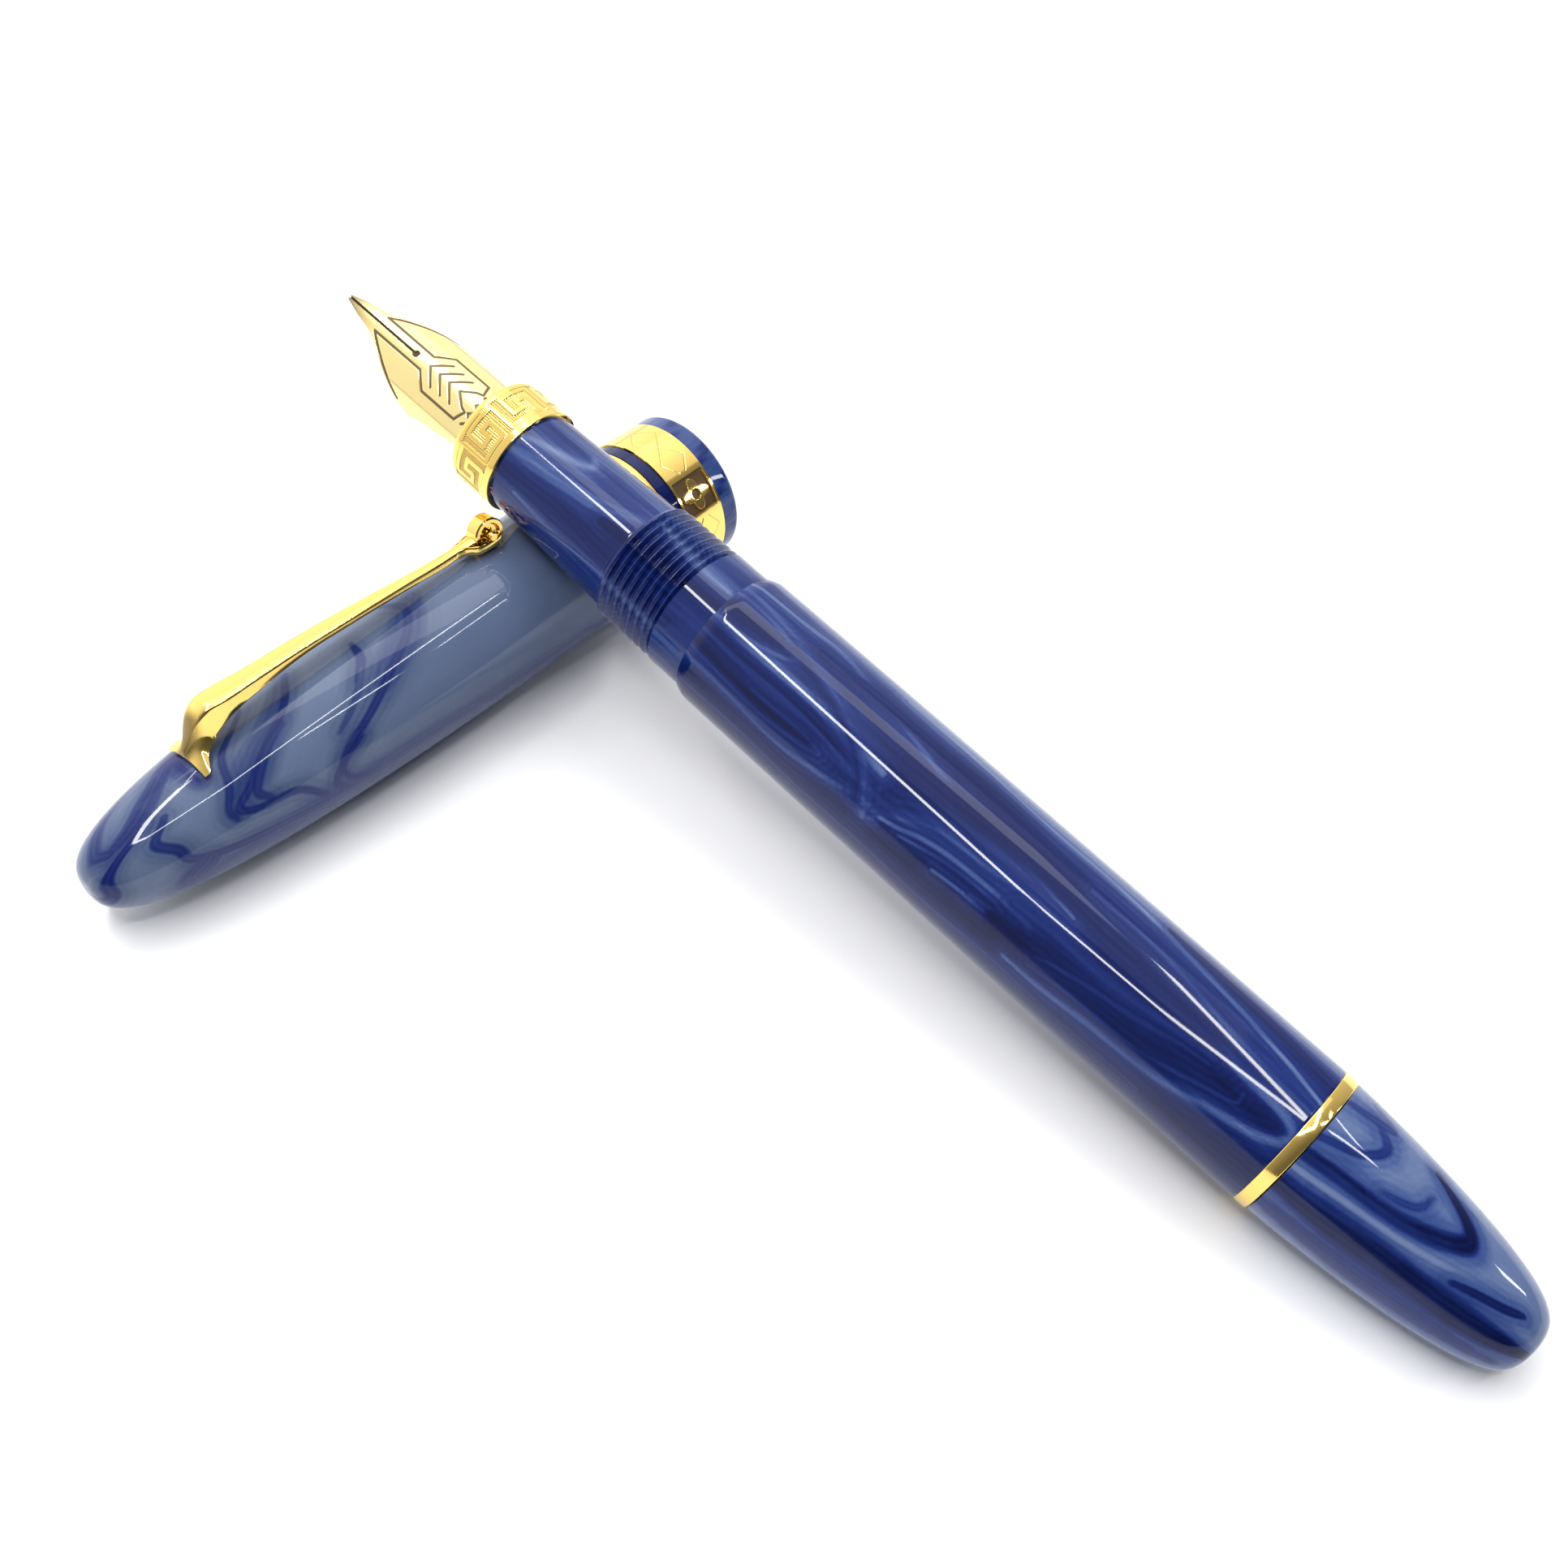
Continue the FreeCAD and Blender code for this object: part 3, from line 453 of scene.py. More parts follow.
def make_materials():
    """One material for each kind of surface."""
    pen_stops = [(0.0, NAVY_DEEP), (0.25, NAVY), (0.5, INDIGO), (0.75, PERIWINKLE), (1.0, MIST)]
    cap_stops = [(0.0, CAP_INK), (0.35, CAP_SHADE), (0.7, CAP_BASE), (1.0, CAP_PALE)]
    knob_stops = [(0.0, NAVY_DEEP), (0.35, INDIGO), (0.7, PERIWINKLE), (1.0, MIST)]
    return {
        "barrel": resin("resin_of_barrel", pen_stops, grain=0.16, streaks=0.5, stretch=(0.07, 1.3, 1.3)),
        "knob": resin("resin_of_knob", knob_stops, grain=0.10, streaks=0.25, stretch=(0.3, 0.5, 0.5)),
        "cap": resin("resin_of_cap", cap_stops, grain=0.07, streaks=0.22, stretch=(0.12, 0.3, 0.3)),
        "gold": gold("plated_gold", tint=linear(252, 216, 122), brown=linear(60, 34, 8)),
        "nib": gold("nib_gold", tint=linear(254, 232, 162), brown=linear(52, 28, 4)),
        "black": plain("ebonite", linear(26, 25, 26), rough=0.35, metal=0.0),
        "steel": plain("tipping", linear(205, 203, 198), rough=0.3, metal=1.0),
        "plastic": plain("inner_plastic", linear(50, 50, 56), rough=0.45, metal=0.0),
        "rubber": plain("seal_rubber", linear(38, 38, 38), rough=0.7, metal=0.0),
        "brass": plain("inner_brass", linear(208, 172, 98), rough=0.3, metal=1.0),
    }


def gold(name, tint, brown):
    """Polished gold: a little wear in its gloss, and brown for ink, painted shade and painted dark
    reflections.
    """
    graph = Graph(name)
    place = graph.read("own_place")
    ink_and_shade = graph.read("ink_and_shade", "Fac")
    patches = graph.noise(place, scale=0.8, detail=3.0, roughness=0.6)
    worn = graph.calc("MULTIPLY_ADD", patches, 0.12, 0.02)
    roughness = graph.calc("MULTIPLY_ADD", ink_and_shade, 0.3, worn)
    duller = [0.88 * value for value in tint]
    tone = graph.mix(graph.calc("MULTIPLY", patches, 0.35), (*tint, 1), (*duller, 1))
    colour = graph.mix(ink_and_shade, tone, (*brown, 1))
    scratch_place = graph.vector("MULTIPLY", place, (2.0, 14.0, 14.0))
    scratches = graph.noise(scratch_place, scale=1.0, detail=2.0, roughness=0.5)
    metallic = graph.calc("MULTIPLY_ADD", ink_and_shade, -0.7, 1.0)
    graph.shade(Base_Color=colour, Metallic=metallic, Roughness=roughness)
    graph.shade(Normal=graph.bump(scratches, strength=0.02, distance=0.0001))
    return graph.material


def plain(name, tint, rough, metal):
    """A simple surface with a soft mottle in its colour and gloss."""
    graph = Graph(name)
    place = graph.node("ShaderNodeTexCoord").outputs["Object"]
    patches = graph.noise(place, scale=900.0, detail=3.0, roughness=0.6)
    darker = [0.8 * value for value in tint]
    lighter = [min(1, 1.2 * value) for value in tint]
    colour = graph.mix(patches, (*darker, 1), (*lighter, 1))
    roughness = graph.calc("MULTIPLY_ADD", patches, 0.15, rough - 0.07)
    graph.shade(Base_Color=colour, Metallic=metal, Roughness=roughness)
    return graph.material


LOOKS = make_materials()


# ---- marbling and painted shade ----
# A ribbon is (points, half width in mm, tone): its points are (station, degrees round from the upright), and
# its tone runs from 0, the darkest colour of the resin, to 1, the lightest.

BARREL_RIBBONS = [
    ([(48, 40), (70, 38), (92, 36), (112, 30)], 2.2, 0.66),
    ([(50, 52), (80, 50), (112, 48)], 1.4, 0.9),
    # The next two broad dark ribbons along the near lower side are marbling darkened further as painted
    # shade.
    ([(46, -78), (70, -80), (90, -80), (114, -74)], 1.9, 0.1),
    ([(46, -96), (80, -98), (114, -96)], 1.7, 0.2),
    ([(50, -88), (72, -90), (100, -86)], 0.2, 0.4),
    ([(48, -57), (58, -60), (65, -56)], 1.3, 0.3),
    ([(48, -66), (60, -69), (66, -65), (69, -55), (66.4, -46), (60, -42), (48, -41)], 0.36, 0.62),
    ([(48, -58), (56, -61), (63.6, -57), (63, -52), (56, -50)], 0.16, 0.55),
    ([(49, -53), (57, -55), (63, -54)], 0.2, 0.0),
    ([(46, -34), (60, -36), (69, -42)], 0.5, 0.02),
    ([(48, -25), (57, -28), (64, -27), (69, -33)], 0.55, 0.78),
    ([(48, -16), (52, -16), (55.4, -14)], 0.9, 0.1),
    ([(48, -26), (54.5, -24), (57.2, -14), (54.5, -4), (48, -1)], 0.26, 0.6),
    ([(70, -68), (69, -55), (66.8, -38), (63, -18), (57, -2), (48, 8)], 0.6, 0.62),
    ([(68.6, -60), (67, -42), (63.4, -24), (56, -8)], 0.18, 0.24),
    ([(70.5, -64), (72, -51), (75.6, -40), (81, -33), (90, -30)], 0.55, 0.66),
    ([(72, -56), (76, -44), (82, -37), (90, -34)], 0.16, 0.3),
    ([(72, -60), (79, -58), (84, -51)], 1.5, 0.03),
    ([(71, -58), (76, -49), (81, -43.5), (85, -43.5), (86.2, -51), (83, -58), (77, -63)], 0.3, 0.7),
    ([(73, -59), (78, -52), (82.6, -48), (84, -52), (81, -57)], 0.14, 0.5),
    ([(84, -60), (96, -56), (105, -47), (109, -35)], 2.3, 0.02),
    ([(86, -76), (95, -71), (102, -63), (108, -51), (110.6, -36), (109, -26), (104, -24)], 0.5, 0.7),
    ([(88, -66), (96, -61), (102, -53), (106, -43), (106, -33)], 0.16, 0.34),
    ([(88, -58), (94, -47), (103, -35)], 0.24, 0.3),
    ([(84, -40), (94, -37), (103, -30)], 0.5, 0.4),
    ([(48, 13), (54, 18), (59, 20), (63, 13), (69, 2), (76, -10), (88, -21)], 0.36, 0.82),
    ([(58, 6), (72, 11), (84, 9), (98, -3)], 1.0, 0.28),
    ([(70, -16), (82, -9), (94, -13)], 1.2, 0.18),
    ([(66, 31), (77, 28), (88, 25), (97, 18), (104, 8), (112, -6)], 0.32, 0.88),
    ([(88, 5), (97, 0), (104, -9), (112, -16)], 0.4, 0.55),
    ([(94, 28), (104, 21), (112, 14)], 0.8, 0.26),
]
SECTION_RIBBONS = [
    ([(24, -52), (31, -50), (38, -56), (46, -60)], 1.2, 0.2),
    ([(24, -36), (30, -30), (35, -20), (38, -8)], 0.8, 0.7),
    ([(24, -20), (28, -10), (31, 4), (30, 20)], 0.5, 0.85),
    ([(24, 20), (32, 26), (40, 22), (48, 26)], 0.9, 0.62),
    ([(27, -70), (34, -74), (42, -70), (49, -76)], 0.5, 0.7),
    ([(24, -90), (36, -94), (49, -92)], 0.9, 0.45),
    ([(36, -30), (42, -26), (49, -20)], 1.0, 0.12),
    ([(40, 2), (45, -2), (49, -4)], 0.6, 0.75),
]
KNOB_RIBBONS = [
    ([(111, -62), (120, -60), (128, -56), (133, -50)], 2.0, 0.04),
    ([(112, -88), (122, -86), (132, -80)], 1.6, 0.3),
    ([(110, -38), (118, -32), (122.6, -21), (125, -5), (124.4, 10), (121, 27)], 0.95, 0.02),
    ([(110, -48), (118, -43), (124, -32), (129.4, -17)], 0.36, 0.95),
    ([(126, -36), (129.5, -24), (131.5, -12)], 0.5, 0.1),
    ([(112, -24), (115.4, -12), (116.4, 6), (114.6, 20)], 0.42, 0.3),
    ([(118.5, -20), (120.5, -12), (121, 2)], 0.32, 0.36),
    ([(112, 14), (116, 24), (114, 34)], 0.45, 0.4),
]
CAP_RIBBONS = [
    # The first two ribbons are painted shade: a dark line along the cap's lower edge and a darker band beside
    # it.
    ([(9, 118), (20, 112), (32, 104), (44, 101), (56, 100), (63, 106)], 2.4, 0.3),
    ([(10, 108), (20, 103), (30, 98), (40, 95), (49, 92), (57, 90)], 0.3, 0.1),
    ([(33.5, -14), (35, 2), (37.8, 16), (41, 32)], 1.9, 0.42),
    ([(36, -24), (34.6, -6), (36, 10), (40, 29), (44, 49), (47.4, 64), (49, 78), (48, 90)], 0.4, 0.12),
    ([(45, 58), (48, 70), (47.4, 84), (45, 92)], 0.22, 0.02),
    ([(40.4, -8), (41.2, 8), (43, 22)], 0.42, 0.02),
    ([(42, 16), (44, 32), (46.4, 46)], 0.3, 0.3),
    ([(47, -20), (50, 0), (53, 18), (56, 34), (57, 46)], 1.3, 0.46),
    ([(46.4, -24), (49, 2), (52, 22), (55, 38), (57.2, 50), (56, 60), (52.4, 65), (50, 84)], 0.42, 0.06),
    ([(50, 14), (53, 30), (55.4, 46), (54.6, 58)], 0.42, 0.1),
    ([(52, -20), (55, 4), (56.6, 26), (58, 46), (57.6, 60)], 0.34, 0.08),
    ([(57, -50), (59, -30), (61, -10), (64.6, 6), (67.4, 14)], 1.2, 0.1),
    ([(60, -46), (64, -38), (67, -20), (68.4, 0), (67.4, 16)], 0.9, 0.12),
    ([(62.6, 20), (64, 38), (62.6, 56), (62, 72), (58, 84), (50, 94)], 0.6, 0.12),
    ([(61, 80), (63, 94), (62, 112)], 1.6, 0.18),
    ([(64.4, 15), (67, 30), (68.6, 50), (69, 80), (69, 110)], 0.65, 0.04),
    # The last ribbon is a painted shadow: the dark gap of the clip's slot behind its foot.
    ([(58.25, -38), (58.3, -12), (58.25, 14)], 0.12, -1.0),
]
LIP_RIBBONS = [
    ([(-0.5, 40), (1.0, 52), (2.6, 60)], 0.28, 0.2),
    ([(-0.5, 66), (1.0, 74), (2.6, 80)], 0.2, 0.3),
    ([(-0.5, 84), (1.0, 90), (2.6, 102)], 0.35, 0.14),
    ([(-0.5, 10), (1.0, 24), (2.6, 30)], 0.4, 0.25),
    ([(-0.5, -20), (1.0, -8), (2.6, 4)], 0.25, 0.2),
]
PEN_FACING = -35
CAP_FACING = 35
HAZE = 0.34
HAZE_REACH = 1.7
FINE_LINE_TONE = 0.06
FINE_LINE_PITCH = 0.62


def smooth_path(points, per_run):
    """A path through points, rounded where it turns."""
    known = np.array(points, float)
    ends = 2 * known[[0, -1]] - known[[1, -2]]
    padded = np.vstack([ends[0], known, ends[1]])
    along = np.linspace(0, 1, per_run, endpoint=False)[:, None]
    runs = []
    for before, start, end, after in zip(padded, padded[1:], padded[2:], padded[3:]):
        bend = 2 * before - 5 * start + 4 * end - after
        twist = 3 * start - before - 3 * end + after
        runs.append(0.5 * (2 * start + (end - before) * along + bend * along ** 2 + twist * along ** 3))
    return np.vstack(runs + [known[-1:]])


def ribbon_cover(station, across, path, half):
    """How much a ribbon covers each place, and how far each place is from the ribbon's middle.

    A ribbon narrows towards its ends and has a soft haze beside it.
    """
    ends = 0.35 + 0.65 * np.sin(np.linspace(0.12, math.pi - 0.12, len(path) - 1)) ** 0.6
    cover = np.zeros_like(station)
    nearest = np.full(station.shape, 1e3)
    for start, end, share in zip(path, path[1:], ends):
        distance = segment_distance(station, across, start, end)
        core = 1 - smooth(half * share * 0.5, half * share * 1.3 + 0.14, distance)
        haze = HAZE * (1 - smooth(half * share, half * share + HAZE_REACH, distance))
        cover = np.maximum(cover, np.maximum(core, haze))
        nearest = np.minimum(nearest, distance)
    return cover, nearest


def ribbon_pattern(ribbons, ground, radius, roll, facing):
    """A pattern of ribbons on a ground tone, with fine lines that follow them.

    roll turns the piece's own angles to angles from the upright. The ribbons come again, mirrored, on the
    half that faces away.
    """

    def pattern(station, angle):
        seen = (np.degrees(angle) - roll - facing + 180) % 360 - 180
        folded = np.where(np.abs(seen) > 90, np.sign(seen) * 180 - seen, seen) + facing
        across = np.radians(folded) * radius
        # A slow wobble, so that no ribbon's edge runs quite true.
        place = station + 0.3 * np.sin(0.7 * across + 0.3 * station)
        across = across + 0.12 * np.sin(0.45 * station + 0.8 * across)
        tone = np.full(station.shape, ground)
        for points, half, shade in ribbons:
            path = smooth_path([(at, math.radians(turn) * radius) for at, turn in points], 6)
            cover, nearest = ribbon_cover(place, across, path, half)
            fine = FINE_LINE_TONE * np.cos(2 * math.pi * nearest / FINE_LINE_PITCH) * np.exp(-nearest / 1.3)
            tone = tone + (shade - tone) * cover + fine
        return tone
    return pattern


# ---- pen pieces ----

def make_barrel():
    swell = np.linspace(STEP + STEP_SHOULDER, BARREL_END - 0.05, 420)
    shoulder = np.linspace(0, 1, 10)[:-1]
    rise = barrel_radius(STEP + STEP_SHOULDER) - STEP_RADIUS
    outline = joined(
        (STEP, BARREL_BORES[0]), (STEP, STEP_RADIUS),
        (STEP + STEP_SHOULDER * shoulder, STEP_RADIUS + rise * np.sin(shoulder * math.pi / 2)),
        (swell, barrel_radius(swell)),
        (BARREL_END, BARREL_RADII[2] - 0.03), (BARREL_END, BARREL_BORES[1]),
    )
    pattern = ribbon_pattern(BARREL_RIBBONS, 0.24, BARREL_RADII[1], NIB_ROLL, PEN_FACING)
    piece = turned("barrel_skin", PEN, *outline, segments=360, pattern=pattern)
    return dress(piece, LOOKS["barrel"], "pen", "pen_resin", "barrel")


def thread_relief(station, angle, radius):
    """A right-hand thread on the section, rounded at its roots and crests."""
    turn = (station - THREAD_START) / THREAD_PITCH + angle / (2 * math.pi)
    wave = 0.5 - 0.5 * np.cos(2 * math.pi * turn)
    ends = smooth(THREAD_START - 0.2, THREAD_START + 0.5, station)
    ends = ends * (1 - smooth(THREAD_END - 0.1, THREAD_END + 0.3, station))
    on_skin = radius > GRIP_FRONT_RADIUS - 0.1
    return THREAD_DEPTH * wave ** 0.8 * ends * on_skin, np.zeros_like(wave)


def make_section():
    grip = np.linspace(RING_REAR, THREAD_START - 0.3, 60)
    thread = np.linspace(THREAD_START - 0.25, THREAD_END + 0.15, 190)
    outline = joined(
        (RING_REAR, SECTION_BORE), (grip, grip_radius(grip)), (thread, grip_radius(thread)),
        (LAND_START, LAND_RADIUS - 0.12), (LAND_START + 0.12, LAND_RADIUS),
        (np.linspace(LAND_START + 0.3, STEP + 0.05, 12), LAND_RADIUS), (STEP + 0.05, SECTION_BORE),
    )
    pattern = ribbon_pattern(SECTION_RIBBONS, 0.4, GRIP_REAR_RADIUS, NIB_ROLL, PEN_FACING)
    piece = turned("section_skin", PEN, *outline, segments=288, relief=thread_relief, pattern=pattern)
    return dress(piece, LOOKS["barrel"], "pen", "pen_resin", "section")


def make_knob():
    front = TRIM_END + KNOB_GAP
    stations = nose_stations(KNOB_NOSE, 140)
    stations = np.concatenate([[front + 0.06], stations[stations > front + 0.15]])
    radii = nose_radius(stations, KNOB_NOSE)
    radii[-1] = 0
    outline = joined(
        (KNOB_POCKET_END, 0.0), (KNOB_POCKET_END, KNOB_BORE), (front, KNOB_BORE),
        (front, radii[0] - 0.06), (stations, radii),
    )
    pattern = ribbon_pattern(KNOB_RIBBONS, 0.92, BARREL_RADII[2], NIB_ROLL, PEN_FACING)
    piece = turned("knob_skin", PEN, *outline, segments=320, pattern=pattern, ends="nose")
    return dress(piece, LOOKS["knob"], "knob", "knob_resin", "piston_knob")


def make_trim_ring():
    edge = 0.1
    front = rounded(BARREL_END + edge, TRIM_RADIUS - edge, edge, 180, 90)
    rear = rounded(TRIM_END - edge, TRIM_RADIUS - edge, edge, 90, 0)
    outline = joined((BARREL_END, KNOB_BORE), front, rear, (TRIM_END, KNOB_BORE))
    piece = turned("trim_ring", PEN, *outline, segments=256)
    return dress(piece, LOOKS["gold"], "pen", "plated_gold", "barrel_trim_ring")


MEANDER = [(0, 0), (0, 3), (3, 3), (3, 1), (2, 1), (2, 2), (1, 2), (1, 0), (4, 0)]
MEANDER_REPEATS = 8
MEANDER_FIELD = (RING_FRONT + 0.95, RING_REAR - 0.75)
MEANDER_MARGIN = 0.25
MEANDER_LINE = 0.19
HATCH_LINES = 144


def meander_relief(station, angle, radius):
    """A raised key pattern on a hatched ground, between plain rims."""
    low, high = MEANDER_FIELD
    period = 2 * math.pi * RING_RADIUS / MEANDER_REPEATS
    around = (angle * RING_RADIUS) % period
    step_around = period / 4
    step_along = (high - low - 2 * MEANDER_MARGIN) / 3
    path = [(u * step_around, low + MEANDER_MARGIN + v * step_along) for u, v in MEANDER]
    distance = np.minimum.reduce([
        path_distance(around + shift, station, path) for shift in (-period, 0, period)
    ])
    raised = 1 - smooth(MEANDER_LINE, MEANDER_LINE + 0.08, distance)
    inside = smooth(low - 0.04, low + 0.06, station) * (1 - smooth(high - 0.06, high + 0.04, station))
    hatch = 0.5 + 0.5 * np.cos(angle * HATCH_LINES)
    on_skin = radius > RING_RADIUS - 0.02
    ground = inside * (1 - raised) * on_skin
    # The sunk ground is painted darker: ink and painted shade in the hatching.
    return -ground * (0.06 + 0.05 * hatch), ground * (0.1 + 0.45 * hatch)


def make_section_ring():
    edge = 0.7
    lip = rounded(RING_FRONT + edge, RING_RADIUS - edge, edge, 180, 95, 12)
    body = np.linspace(RING_FRONT + edge + 0.02, RING_REAR - 0.08, 110)
    outline = joined(
        (RING_FRONT + 0.3, RING_MOUTH - 0.15), (RING_FRONT, RING_MOUTH), lip, (body, RING_RADIUS),
        (RING_REAR - 0.02, RING_RADIUS - 0.03), (RING_REAR, RING_RADIUS - 0.1), (RING_REAR, RING_BORE),
    )
    piece = turned("meander_ring", PEN, *outline, segments=1152, relief=meander_relief)
    return dress(piece, LOOKS["gold"], "pen", "plated_gold", "section_ring")


def nib_half_width(station):
    side = blend_points(NIB_SIDE, station)
    body = np.interp(station, *zip(*NIB_BODY))
    return np.where(station < NIB_SIDE[-1][0], side, body)


SLIT_BORDER = [(4.5, 0.9), (10.9, 0.9), (12.4, 2.3), (16.8, 2.3), (17.3, 1.2), (16.7, 1.0), (15.4, 0.0)]
WING_LINE = [(4.5, 0.9), (9.0, 3.9), (10.2, 4.6)]
CHEVRON_APEXES = (11.4, 12.7, 14.0)
ZIGZAG = [(17.6, 0.0), (18.3, 0.55), (17.6, 1.1), (18.3, 1.7), (17.7, 2.2)]
REAR_LINE = [(18.6, 0.0), (19.2, 0.7), (18.9, 1.3)]
# How far from its middle a cut begins to fade, and where it is gone.
LINE_FADE = (0.1, 0.17)
SLIT_FADE = (0.07, 0.13)
# Stations between which the painted shade at the nib's point fades.
POINT_FADE = (0.4, 5.0)


def nib_lines():
    """Engraved lines of the nib's one half, as (station, offset from the slit) paths."""
    chevrons = [[(apex, 0.0), (apex + 1.5, 1.5)] for apex in CHEVRON_APEXES]
    return [SLIT_BORDER, WING_LINE, ZIGZAG, *chevrons, REAR_LINE]


def nib_relief(station, offset):
    """How deep the nib is cut by its engraved lines, slit and breather hole, and how dark it is painted
    there.
    """
    side = np.abs(offset)
    line = np.minimum.reduce([path_distance(station, side, path) for path in nib_lines()])
    engraved = 1 - smooth(*LINE_FADE, line)
    hole_at, hole_radius = BREATHER
    hole = 1 - smooth(hole_radius - 0.06, hole_radius + 0.02, np.hypot(station - hole_at, offset))
    slit = (1 - smooth(*SLIT_FADE, side)) * (station < hole_at)
    through = np.maximum(hole, slit)
    # Painted dark: ink and painted shade in the engraved lines, painted shade in the slit and the breather
    # hole, and painted shade towards the point.
    point = 0.75 * (1 - smooth(*POINT_FADE, station))
    depth = np.maximum(ENGRAVING_DEPTH * engraved, SLIT_DEPTH * through)
    return depth, np.maximum.reduce([0.9 * engraved, through, point])


def make_nib():
    """The nib as a curved sheet: an engraved upper side, a plain under side and the edge between them."""
    rows, columns = 420, 221
    station = np.linspace(0.0, NIB_REAR, rows)
    across = np.linspace(-1, 1, columns)
    arc = NIB_SHELL_RADIUS * np.arcsin(np.clip(nib_half_width(station) / NIB_SHELL_RADIUS, 0, 1))
    station_grid = np.repeat(station[:, None], columns, axis=1)
    offset = arc[:, None] * across[None, :]
    depth, ink_and_shade = nib_relief(station_grid, offset)
    edge = arc[:, None] - np.abs(offset)
    depth = depth + 0.06 * (1 - smooth(0.0, 0.12, edge))
    turn = offset / NIB_SHELL_RADIUS
    top = NIB_TIP_HEIGHT + station_grid * math.tan(math.radians(NIB_SLOPE))

    def sheet(below):
        radius = NIB_SHELL_RADIUS - below
        height = top - NIB_SHELL_RADIUS + radius * np.cos(turn)
        return np.stack([station_grid, radius * np.sin(turn), height], axis=2)

    upper, under = sheet(depth), sheet(np.full_like(depth, NIB_THICKNESS))
    points = np.concatenate([upper.reshape(-1, 3), under.reshape(-1, 3)])
    count = rows * columns
    face = grid_faces(rows, columns, False, False)
    rim = np.concatenate([
        np.arange(columns), np.arange(1, rows) * columns + columns - 1,
        (rows - 1) * columns + np.arange(columns - 2, -1, -1), np.arange(rows - 2, 0, -1) * columns,
    ])
    following = np.roll(rim, -1)
    wall = np.stack([rim, following, following + count, rim + count], axis=1)
    faces = np.concatenate([face, face[:, ::-1] + count, wall])
    ink_and_shade_values = np.concatenate([ink_and_shade.ravel(), np.zeros(count)])
    piece = make_piece("nib_blade", PEN, points, faces, ink_and_shade_values, crease=60)
    return dress(piece, LOOKS["nib"], "pen", "nib_gold", "nib")


# ---- cap pieces ----

def make_lip_ring():
    edge = 0.75
    lip = rounded(edge, LIP_RADIUS - edge, edge, 180, 90, 12)
    outline = joined(
        (0.0, 6.3), lip, (LIP_END - 0.04, LIP_RADIUS), (LIP_END, LIP_RADIUS - 0.04),
        (LIP_END, 6.1), (0.2, 6.1),
    )
    pattern = ribbon_pattern(LIP_RIBBONS, 0.7, LIP_RADIUS, CLIP_ROLL, CAP_FACING)
    piece = turned("lip_ring", CAP, *outline, segments=256, pattern=pattern)
    return dress(piece, LOOKS["knob"], "cap", "cap_resin", "cap_lip_ring")


PANEL_CENTRE = (4.4, 0.0)
PANEL_HALF = 1.95
PANEL_ANGLE = math.radians(59.5)
PANEL_DEPTH = 0.28
PETALS = 4
PETAL_REACH = 1.3
PETAL_SWING = 0.35
FLOWER_HOLE = 0.5
LOZENGES = 12
LOZENGE_HALF = 1.5
LOZENGE_DEPTH = 0.03


def band_relief(station, angle, radius):
    """A square sunk panel with a raised flower, and fine lozenges engraved along the band."""
    mean_radius = sum(BAND_RADII) / 2
    away = (angle - PANEL_ANGLE + math.pi) % (2 * math.pi) - math.pi
    around = away * mean_radius
    along = station - PANEL_CENTRE[0]
    on_skin = radius > mean_radius - 0.12
    square = np.maximum(np.abs(around), np.abs(along))
    sunk = 1 - smooth(PANEL_HALF - 0.06, PANEL_HALF + 0.02, square)
    reach = np.hypot(around, along)
    petals = PETAL_REACH + PETAL_SWING * np.cos(PETALS * np.arctan2(along, around))
    flower = 1 - smooth(petals - 0.06, petals + 0.06, reach)
    flower = flower * smooth(FLOWER_HOLE - 0.05, FLOWER_HOLE + 0.05, reach)
    panel = sunk * (1 - flower)
    repeat = 2 * math.pi * mean_radius / LOZENGES
    lozenge_around = (around + repeat / 2) % repeat - repeat / 2
    lozenge = np.abs(np.abs(lozenge_around) / (repeat / 2) + np.abs(along) / LOZENGE_HALF - 1)
    lines = (1 - smooth(0.02, 0.06, lozenge)) * (1 - sunk) * (np.abs(around) > PANEL_HALF + 0.5)
    lines = lines * (np.abs(along) < 1.7)
    lift = -PANEL_DEPTH * panel - LOZENGE_DEPTH * lines
    # The sunk panel and the lozenge lines are painted darker: ink and painted shade in the cuts.
    return lift * on_skin, np.maximum(0.95 * panel, 0.3 * lines) * on_skin


def make_wide_band():
    body = np.linspace(LIP_END + 0.06, BAND_END - 0.06, 110)
    skin = np.interp(body, (LIP_END, BAND_END), BAND_RADII)
    outline = joined(
        (LIP_END, BAND_BORE), (LIP_END, BAND_RADII[0] - 0.06), (body, skin),
        (BAND_END, BAND_RADII[1] - 0.06), (BAND_END, BAND_BORE),
    )
    piece = turned("wide_band", CAP, *outline, segments=1152, relief=band_relief)
    return dress(piece, LOOKS["gold"], "cap", "plated_gold", "cap_band_wide")


def make_spacer():
    outline = joined(
        (BAND_END, BAND_BORE), (BAND_END, SPACER_RADIUS),
        (SPACER_END, SPACER_RADIUS), (SPACER_END, BAND_BORE),
    )
    pattern = ribbon_pattern(LIP_RIBBONS, 0.15, SPACER_RADIUS, CLIP_ROLL, CAP_FACING)
    piece = turned("spacer_ring", CAP, *outline, segments=256, pattern=pattern)
    return dress(piece, LOOKS["barrel"], "cap", "dark_resin", "cap_spacer_ring")


def make_thin_band():
    half = (THIN_BAND_END - SPACER_END) / 2
    crown = np.linspace(-1, 1, 11)
    outline = joined(
        (SPACER_END, BAND_BORE),
        (SPACER_END + half + half * crown, THIN_BAND_RADIUS - 0.22 * crown ** 4),
        (THIN_BAND_END, BAND_BORE),
    )
    piece = turned("thin_band", CAP, *outline, segments=256)
    return dress(piece, LOOKS["gold"], "cap", "plated_gold", "cap_band_thin")


